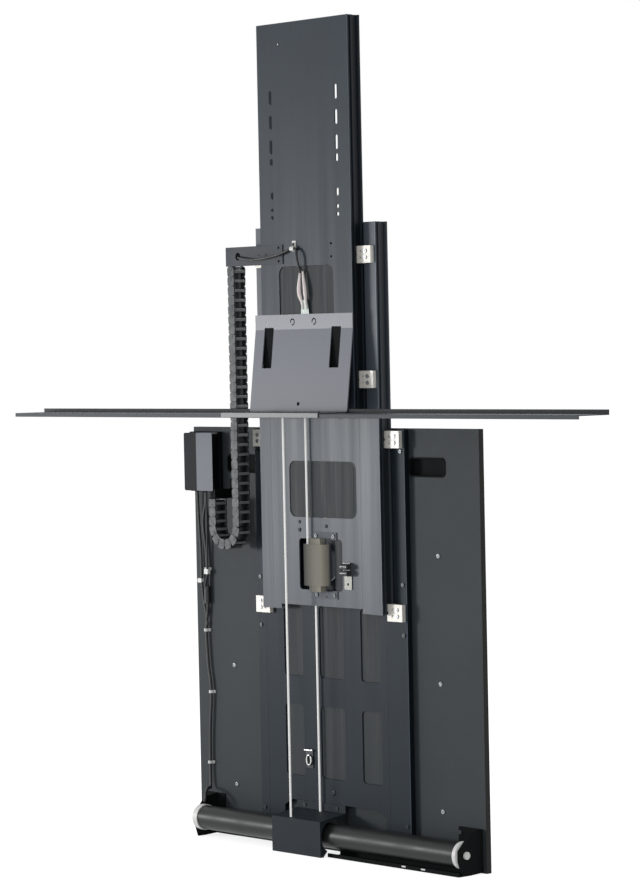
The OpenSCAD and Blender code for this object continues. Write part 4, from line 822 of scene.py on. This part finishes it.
# Wires that fill the chain: run, bend and leg
def wires(name, points):
    pts = even([at(x, CHAIN_Y, z) for x, z in points], WIRE_STEP)
    verts, faces = sweep(pts, Flat(7.0 * MM, 13.0 * MM), Vector((1, 0, 0)))
    o = mesh_object(name, verts, faces, MATERIALS["cable"])
    return o


RUN_END, RUN_STILL = 4.0, 20.0     # the wires' end inside the chain, and a stretch length
LEG_END, LEG_STILL = 3.0, 8.0
run_wires = wires("chain_wires_run", [(CHAIN_X, BEND_Z), (CHAIN_X, RUN_TOP_Z - RUN_END)])
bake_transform(run_wires)
bend_wires = wires("chain_wires_bend", [on_bend(-a) for a in range(0, 181, 6)])
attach(bend_wires, "middle")
leg_wires = wires("chain_wires_leg", [(LEG_X, BEND_Z), (LEG_X, LEG_TOP_Z - LEG_END)])
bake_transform(leg_wires)

# Wiring
CABLE_X, CABLE_Y, CABLE_LOW, BOX_FOOT = -402.0, -6.0, 100.0, 724.0
# The motor cable's points: share of the way up, and how far each lies off the straight line
CABLE_AT = [0.9615, 0.897, 0.801, 0.737, 0.697, 0.649, 0.601, 0.529, 0.417, 0.3205, 0.192, 0.08, 0]
CABLE_DX = [4, -8, -2, 0, 0, 0, 0, -6, -2, 6, 0, -2, 0]
CABLE_DY = [-3, -1, 0, 0, 0, 0, 0, 0, 0, 0, 0, 0, -2]


def cable_z(s):
    """Height of a share of the way from the clips at the foot up to the control box."""
    return CABLE_LOW + (BOX_FOOT - CABLE_LOW) * s


route = [at(CABLE_X + 4, CABLE_Y - 3.9, BOX_FOOT - 0.6)]
route += [at(CABLE_X + dx, CABLE_Y + dy, cable_z(s)) for s, dx, dy in zip(CABLE_AT, CABLE_DX, CABLE_DY)]
route += [at(-395.7, -17, 98), at(-387.8, -30.8, 94), at(-379.3, -41.4, 84), at(-379.3, -44.2, 70.6)]
motor_cable = tube("motor_lead", catmull(route, 8), 3 * MM, MATERIALS["cable"], 16, 0.003)
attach(motor_cable, "base")
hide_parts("motor_cable")

CLIP_X, CLIP_Z = -33.0, 1222.5
SENSOR = [(-177, 4, -10.5), (-174, -2, -11), (-164, -8, -14), (-127, -8.5, -18.5), (-87, -8.5, -16.5),
          (-47, -8, -11.5), (-18, -6, -4), (-8, -5, -0.5), (0, -5, 0), (8, -5.5, -0.5), (14, -8, -5),
          (18, -11, -17.5), (21, -9.5, -33.5), (22.5, -5, -49.2)]


def from_clip(points):
    """Points given from the cable clip on the upper stage."""
    return [at(CLIP_X + x, UPPER_Y + y, CLIP_Z + z) for x, y, z in points]


sensor = tube("sensor_lead", catmull(from_clip(SENSOR), 8), 2.5 * MM, MATERIALS["cable"], 14, 0.002,
              Vector((0, 1, 0)))
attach(sensor, "upper")
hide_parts("sensor_cable")


# Small pieces
def ridden(o, body):
    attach(o, body)
    return o


def panel(name, rect, r, y, thick, material, body):
    """A sheet with round corners: rect is its left, right, foot and head, and y its front."""
    x0, x1, z0, z1 = rect
    verts, faces = slab_mesh(rounded(x0, x1, z0, z1, r, 6), y, y + thick)
    return ridden(mesh_object(name, [at(*v) for v in verts], faces, material, smooth=False), body)


def lathe(name, place, profile, material, body, sides=20):
    """A turned piece on the front of a sheet: profile of (radius, distance out of the sheet)."""
    x, y, z = place
    verts, faces = [], []
    for r, out in profile:
        for k in range(sides):
            a = 2 * math.pi * k / sides
            verts.append(at(x + r * math.cos(a), y - out, z + r * math.sin(a)))
    faces += ring_faces(len(profile), sides)
    return ridden(mesh_object(name, verts, faces, material), body)


def pan_head(r, h):
    """Profile of a pan head of radius r and height h with a round recess."""
    return [(r, -0.2), (r, 0.45 * h), (0.86 * r, 0.85 * h), (0.5 * r, h), (0.46 * r, 0.98 * h),
            (0.44 * r, 0.4 * h), (0.02 * r, 0.38 * h)]


# Sheets behind the windows, close under the face; a window is its left, right, foot, head and corner
SHEET_GAP, SHEET = 0.3, 1.0
RAIL_WINDOW_COLUMNS = ((-118, 58), (0, 74), (118, 58))     # middle and width
RAIL_WINDOW_ROWS = (147.5, 352.0)
RAIL_WINDOW_H, WINDOW_R = 146.0, 8.0
MIDDLE_WINDOW = (-92, 112, 680, 794, WINDOW_R)
UPPER_WINDOW = (-83, 83, 1017.5, 1187.5, 16.0)
INNER_SHEET = (-82, 102, 690, 784)
PULLEY_SHEET = (40, 65.7, 533.3, 636.7)


def window_sheet(name, window, y, body):
    x0, x1, z0, z1, r = window
    rect = (x0 + SHEET_GAP, x1 - SHEET_GAP, z0 + SHEET_GAP, z1 - SHEET_GAP)
    panel(name, rect, r - SHEET_GAP, y, SHEET, SPECIAL["lining"], body)


for i, (middle, width) in enumerate(RAIL_WINDOW_COLUMNS):
    for j, foot in enumerate(RAIL_WINDOW_ROWS):
        window_sheet(f"rail_window_sheet_{i}_{j}",
                     (middle - width / 2, middle + width / 2, foot, foot + RAIL_WINDOW_H, WINDOW_R),
                     FIXED_Y + 2.2, "base")
window_sheet("middle_window_sheet", MIDDLE_WINDOW, MIDDLE_Y + 1.6, "middle")
panel("middle_window_inner", INNER_SHEET, 6, MIDDLE_Y + 1.1, 0.6, SPECIAL["lining"], "middle")
window_sheet("upper_window_sheet", UPPER_WINDOW, UPPER_Y + 1.8, "upper")
panel("pulley_window_sheet", PULLEY_SHEET, WINDOW_R - SHEET_GAP, MIDDLE_Y + 2.6, 0.3, SPECIAL["lining"],
      "middle")

# Dust strips in the mouths of the channels:
# name, inner and outer edge, foot, head, front, body, joint, share of the length that is left, finish
DUST_STRIPS = (
    ("rail", 167.7, 202.3, 20.6, 490.4, FIXED_Y, "base", "middle_slide", 0.195, MATERIALS["rail"]),
    ("middle", 124.2, 148.8, 491.6, 885.0, MIDDLE_Y, "middle", "upper_slide", 0.04, SPECIAL["middle"]))
for side, side_name in ((-1, "left"), (1, "right")):
    for name, inner, outer, foot, head, y, body, joint, keep, finish in DUST_STRIPS:
        x0, x1 = sorted((side * inner, side * outer))
        strip = panel(f"{name}_dust_strip_{side_name}", (x0, x1, foot, head), 0.3, y + 0.15, 0.5, finish,
                      body)
        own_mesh(strip)

# Screws of the board and of the stages, and in the middle stage a dark sheet and a dark disc that paint the
# shade inside a latch hole and a dimple
BOARD_SCREW_X, BOARD_SCREW_Z = (-324, 308), (109, 360, 611)
FACE_SCREWS = (          # place, radius of the head and body
    ((-63, MIDDLE_Y, 670), 3.6, "middle"), ((-63, MIDDLE_Y, 654), 4.2, "middle"),
    ((19, MIDDLE_Y, 663), 3.8, "middle"), ((-1.5, FIXED_Y, 120), 5, "base"),
    ((-67, FIXED_Y, 86), 4, "base"), ((-40, FIXED_Y, 86), 4, "base"))
LATCH_HOLE = (12.5, 23.5, 674.5, 680.5)
for i, x in enumerate(BOARD_SCREW_X):
    for j, z in enumerate(BOARD_SCREW_Z):
        lathe(f"board_screw_{i}_{j}", (x, 0, z), pan_head(5.2, 2.2), SPECIAL["pale_screw"], "base")
for i, (place, r, body) in enumerate(FACE_SCREWS):
    lathe(f"face_screw_{i}", place, pan_head(r, 2.0), SPECIAL["dark_screw"], body)
# Painted shade: a dark sheet for the inside of the latch hole and a dark disc for the dimple
panel("middle_latch_hole", LATCH_HOLE, 1.0, MIDDLE_Y - 0.1, 0.4, MATERIALS["cable"], "middle")
lathe("guard_plate_dimple", (18, MIDDLE_Y - 2, 520.5), [(2.2, -0.2), (2.2, 0.12), (0.1, 0.14)],
      MATERIALS["cable"], "middle")

# Back edge of the sill under the tube, which closes the view to the floor, and two pale marks on its lip
SILL_EDGE, SILL_BACK_Y, SILL_FRONT_Y = (37, 418, 2.1, 14), -33.2, -66.4
SILL_MARKS, MARK_W, MARK_FOOT, MARK_HEAD = (262.0, 318.0), 12.0, 3.4, 6.4
panel("sill_back_edge", SILL_EDGE, 0.5, SILL_BACK_Y, 1.0, SPECIAL["black"], "base")
for i, x in enumerate(SILL_MARKS):
    panel(f"sill_mark_{i}", (x - MARK_W / 2, x + MARK_W / 2, MARK_FOOT, MARK_HEAD), 1.2, SILL_FRONT_Y, 0.5,
          SPECIAL["ring"], "base")

# Hook on the face of the rail
HOOK_PLATE, HOOK_Y, HOOK_BAR_Z = (-84, -62, 166, 204), FIXED_Y - 4.5, 202
RING_X, RING_Z, RING_HALF_W, RING_HALF_H = -72, 182, 7, 10
panel("rail_hook_plate", HOOK_PLATE, 3, FIXED_Y - 2.0, 2.0, SPECIAL["dark_screw"], "base")
ridden(tube("rail_hook_bar", [at(-86, HOOK_Y, HOOK_BAR_Z), at(-60, HOOK_Y, HOOK_BAR_Z)], 1.9 * MM,
            SPECIAL["chrome"], 12, 0.002, Vector((0, 0, 1))), "base")
ring = [at(RING_X + RING_HALF_W * math.cos(math.radians(a)), HOOK_Y,
           RING_Z + RING_HALF_H * math.sin(math.radians(a))) for a in range(70, 411, 10)]
ridden(tube("rail_hook_ring", ring, 1.7 * MM, SPECIAL["chrome"], 12, 0.001, Vector((0, 1, 0))), "base")

# Washer and screw of the cable clip, black sheets behind the slots of the bar bracket that paint the shade in
# the slots, screw of the arm
WASHER_X, WASHER_Z = -33, 1231
SLOT_SHADES = ((-138.3, -98.0, 966, 1070), (50.0, 108.0, 966, 1070))
lathe("sensor_clip_washer", (WASHER_X, UPPER_Y - 2, WASHER_Z), [(5.2, -0.2), (5.2, 1.0), (4.9, 1.3),
                                                               (0.1, 1.3)],
      MATERIALS["white_plastic"], "upper")
lathe("sensor_clip_screw", (WASHER_X, UPPER_Y - 3.3, WASHER_Z), pan_head(3.6, 1.6), MATERIALS["cable"],
      "upper")
# Painted shade: black sheets in place of the shade behind the slots
for i, rect in enumerate(SLOT_SHADES):
    panel(f"slot_shade_{i}", rect, 1.0, UPPER_Y - 0.6, 0.5, SPECIAL["black"], "upper")
lathe("arm_screw", (-131.6, -72.7, 1211.6), pan_head(2.6, 1.4), SPECIAL["dark_screw"], "upper")


# Tape of the anti-trap sensor: two sleeved splices that join a flat pale ribbon
def sleeve(name, points, radii):
    pts = even(catmull([at(*p) for p in points], 8), 0.0015)
    verts, faces = sweep(pts, Swelling([r * MM for r in radii], len(pts)), Vector((1, 0, 0)))
    return ridden(mesh_object(name, verts, faces, SPECIAL["sleeve"]), "upper")


def flat_ribbon(name, rows, thick, material):
    """A ribbon down the front, of rows of (left, right, height, front)."""
    verts = []
    for x0, x1, z, y in rows:
        verts += [at(x0, y, z), at(x1, y, z), at(x1, y + thick, z), at(x0, y + thick, z)]
    return mesh_object(name, verts, ring_faces(len(rows), 4), material, smooth=False)


RIBBON = [(-10.5, 6.0, 1119, -64.9), (-11.0, 7.5, 1110, -64.2), (-13.2, 9.2, 1100, -63.6),
          (-14.6, 9.6, 1090.8, -63.0)]
SPLICE_LEADS = (("splice_lead_left", [(-10.6, -66, 1186), (-11.6, -65.5, 1180), (-13, -64.8, 1174)]),
                ("splice_lead_right", [(-10.2, -66, 1186), (-7, -65.5, 1181), (-4.6, -64.8, 1175)]))
sleeve("splice_left", [(-13, -64.8, 1175), (-14.5, -65.4, 1160), (-15.5, -66, 1142), (-14, -66, 1128),
                       (-9, -65.3, 1114), (-7, -64.6, 1100)], [2, 3, 4.3, 4.4, 2.6, 1.6])
sleeve("splice_right", [(-4.5, -64.8, 1176), (-1.5, -65.4, 1161), (2, -66, 1143), (3.5, -66, 1128),
                        (4, -65.3, 1114), (5, -64.6, 1100)], [2, 3, 4, 4.2, 2.6, 1.6])
ribbon = ridden(flat_ribbon("sensor_ribbon", RIBBON, 0.8, SPECIAL["ribbon"]), "upper")
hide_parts("sensor_tape")
for name, points in SPLICE_LEADS:
    ridden(tube(name, catmull([at(*p) for p in points], 6), 1.3 * MM, SPECIAL["link_cheek"], 10), "upper")

# Leads under the control box, with two white ties
BOX_LEADS = (
    ("box_lead_left", 2.6, MATERIALS["cable"],
     [(-424, -9, 725), (-425, -8, 700), (-424, -7, 660), (-422, -5, 600), (-421, -5, 540), (-418, -5, 505),
      (-409, -6, 470), (-403.5, -6.2, 440)]),
    ("box_lead_right", 2.2, SPECIAL["link_cheek"],
     [(-392, -11, 725), (-394, -10, 700), (-396, -8, 660), (-397, -8.5, 600), (-398, -9, 552),
      (-401, -11, 530), (-404, -12, 518)]))
TIES = (("tie_right", (-404, -392, 549, 560), -12.5, 7), ("tie_left", (-431, -418, 530, 539), -9, 8))
for name, r, material, points in BOX_LEADS:
    ridden(tube(name, catmull([at(*p) for p in points], 8), r * MM, material, 14, 0.003), "base")
for name, rect, y, thick in TIES:
    panel(name, rect, 2, y, thick, MATERIALS["white_plastic"], "base")

# Studio
SOFT_LIGHT, SEEN_WHITE, FLOOR_GLOW = 0.3, 1.0, 0.78
FLOOR_SIZE, FLOOR_Z = 60, -0.0005
scene = bpy.context.scene
scene.view_settings.view_transform = "Standard"


def seen_by(tree, *rays):
    """1 for the named kinds of rays and 0 for all others."""
    path = tree.nodes.new("ShaderNodeLightPath")
    fac = path.outputs[rays[0]]
    for ray in rays[1:]:
        fac = math_node(tree, "MAXIMUM", fac, path.outputs[ray])
    return fac


def background(tree, strength):
    n = tree.nodes.new("ShaderNodeBackground")
    n.inputs["Color"].default_value = (1, 1, 1, 1)
    n.inputs["Strength"].default_value = strength
    return n.outputs["Background"]


def studio_world():
    """Soft even light, which is plain white where it is seen or mirrored."""
    world = bpy.data.worlds.new("studio")
    tree = empty_tree(world)
    both = tree.nodes.new("ShaderNodeMixShader")
    tree.links.new(seen_by(tree, "Is Camera Ray", "Is Transmission Ray", "Is Glossy Ray"),
                   both.inputs["Fac"])
    tree.links.new(background(tree, SOFT_LIGHT), both.inputs[1])
    tree.links.new(background(tree, SEEN_WHITE), both.inputs[2])
    out = tree.nodes.new("ShaderNodeOutputWorld")
    tree.links.new(both.outputs["Shader"], out.inputs["Surface"])
    return world


def studio_floor():
    """Pale floor that stays white behind the object and keeps its shadow."""
    bpy.ops.mesh.primitive_plane_add(size=FLOOR_SIZE, location=(0, 0, FLOOR_Z))
    o = bpy.context.object
    o.name = "studio_floor"
    material = bpy.data.materials.new("studio_floor_pale")
    tree = empty_tree(material)
    diffuse = tree.nodes.new("ShaderNodeBsdfDiffuse")
    diffuse.inputs["Color"].default_value = (0.86, 0.86, 0.86, 1)
    glow = tree.nodes.new("ShaderNodeEmission")
    glow.inputs["Color"].default_value = (1, 1, 1, 1)
    tree.links.new(math_node(tree, "MULTIPLY", seen_by(tree, "Is Camera Ray", "Is Glossy Ray"), FLOOR_GLOW),
                   glow.inputs["Strength"])
    both = tree.nodes.new("ShaderNodeAddShader")
    tree.links.new(diffuse.outputs["BSDF"], both.inputs[0])
    tree.links.new(glow.outputs["Emission"], both.inputs[1])
    out = tree.nodes.new("ShaderNodeOutputMaterial")
    tree.links.new(both.outputs["Shader"], out.inputs["Surface"])
    o.data.materials.append(material)
    return o


def area(name, place, aim, size, power):
    """A rectangular lamp at place, turned to aim, both in metres of the frame."""
    light = bpy.data.lights.new(name, "AREA")
    light.shape = "RECTANGLE"
    light.size, light.size_y = size
    light.energy = power
    o = bpy.data.objects.new(name, light)
    scene.collection.objects.link(o)
    o.location = place
    o.rotation_mode = "QUATERNION"
    o.rotation_quaternion = (Vector(aim) - Vector(place)).to_track_quat("-Z", "Y")


scene.world = studio_world()
area("key_left_front", (-3.6, -3.15, 0.75), (0, 0, 0.8), (0.9, 0.7), 85)
area("fill_front", (2.6, -4.2, 2.0), (0, 0, 0.8), (2.4, 2.4), 40)
area("top_back", (0.6, 2.2, 3.2), (0, 0, 1.0), (2.0, 1.2), 30)
studio_floor()

# Camera
# Its angles, its distance and the eye's height, fitted to the photograph
AZIMUTH, DISTANCE, EYE = math.radians(48.934), 6677.7, 1028.55
FOCAL_PX, ROLL, PITCH_UP, SIDE_STEP = 3304.9, math.radians(-1.176), math.radians(-1.731), -24.26
IMAGE_H, SENSOR = 889, 36
forward = Vector((-math.sin(AZIMUTH) * math.cos(PITCH_UP), math.cos(AZIMUTH) * math.cos(PITCH_UP),
                  math.sin(PITCH_UP)))
right = Vector((math.cos(AZIMUTH), math.sin(AZIMUTH), 0))
up = right.cross(forward)
cam_x = right * math.cos(ROLL) + up * math.sin(ROLL)
cam_y = -right * math.sin(ROLL) + up * math.cos(ROLL)
place = Vector((math.sin(AZIMUTH) * DISTANCE, -math.cos(AZIMUTH) * DISTANCE, EYE)) + right * SIDE_STEP
camera_data = bpy.data.cameras.new("camera")
camera_data.sensor_fit = "AUTO"
camera_data.sensor_width = SENSOR
camera_data.lens = SENSOR * FOCAL_PX / IMAGE_H
camera_data.clip_start = 0.1
camera_data.clip_end = 100
camera = bpy.data.objects.new("camera", camera_data)
scene.collection.objects.link(camera)
camera.matrix_world = Matrix.Translation(at(*place)) @ Matrix(
    (cam_x, cam_y, -forward)).transposed().to_4x4()
scene.camera = camera
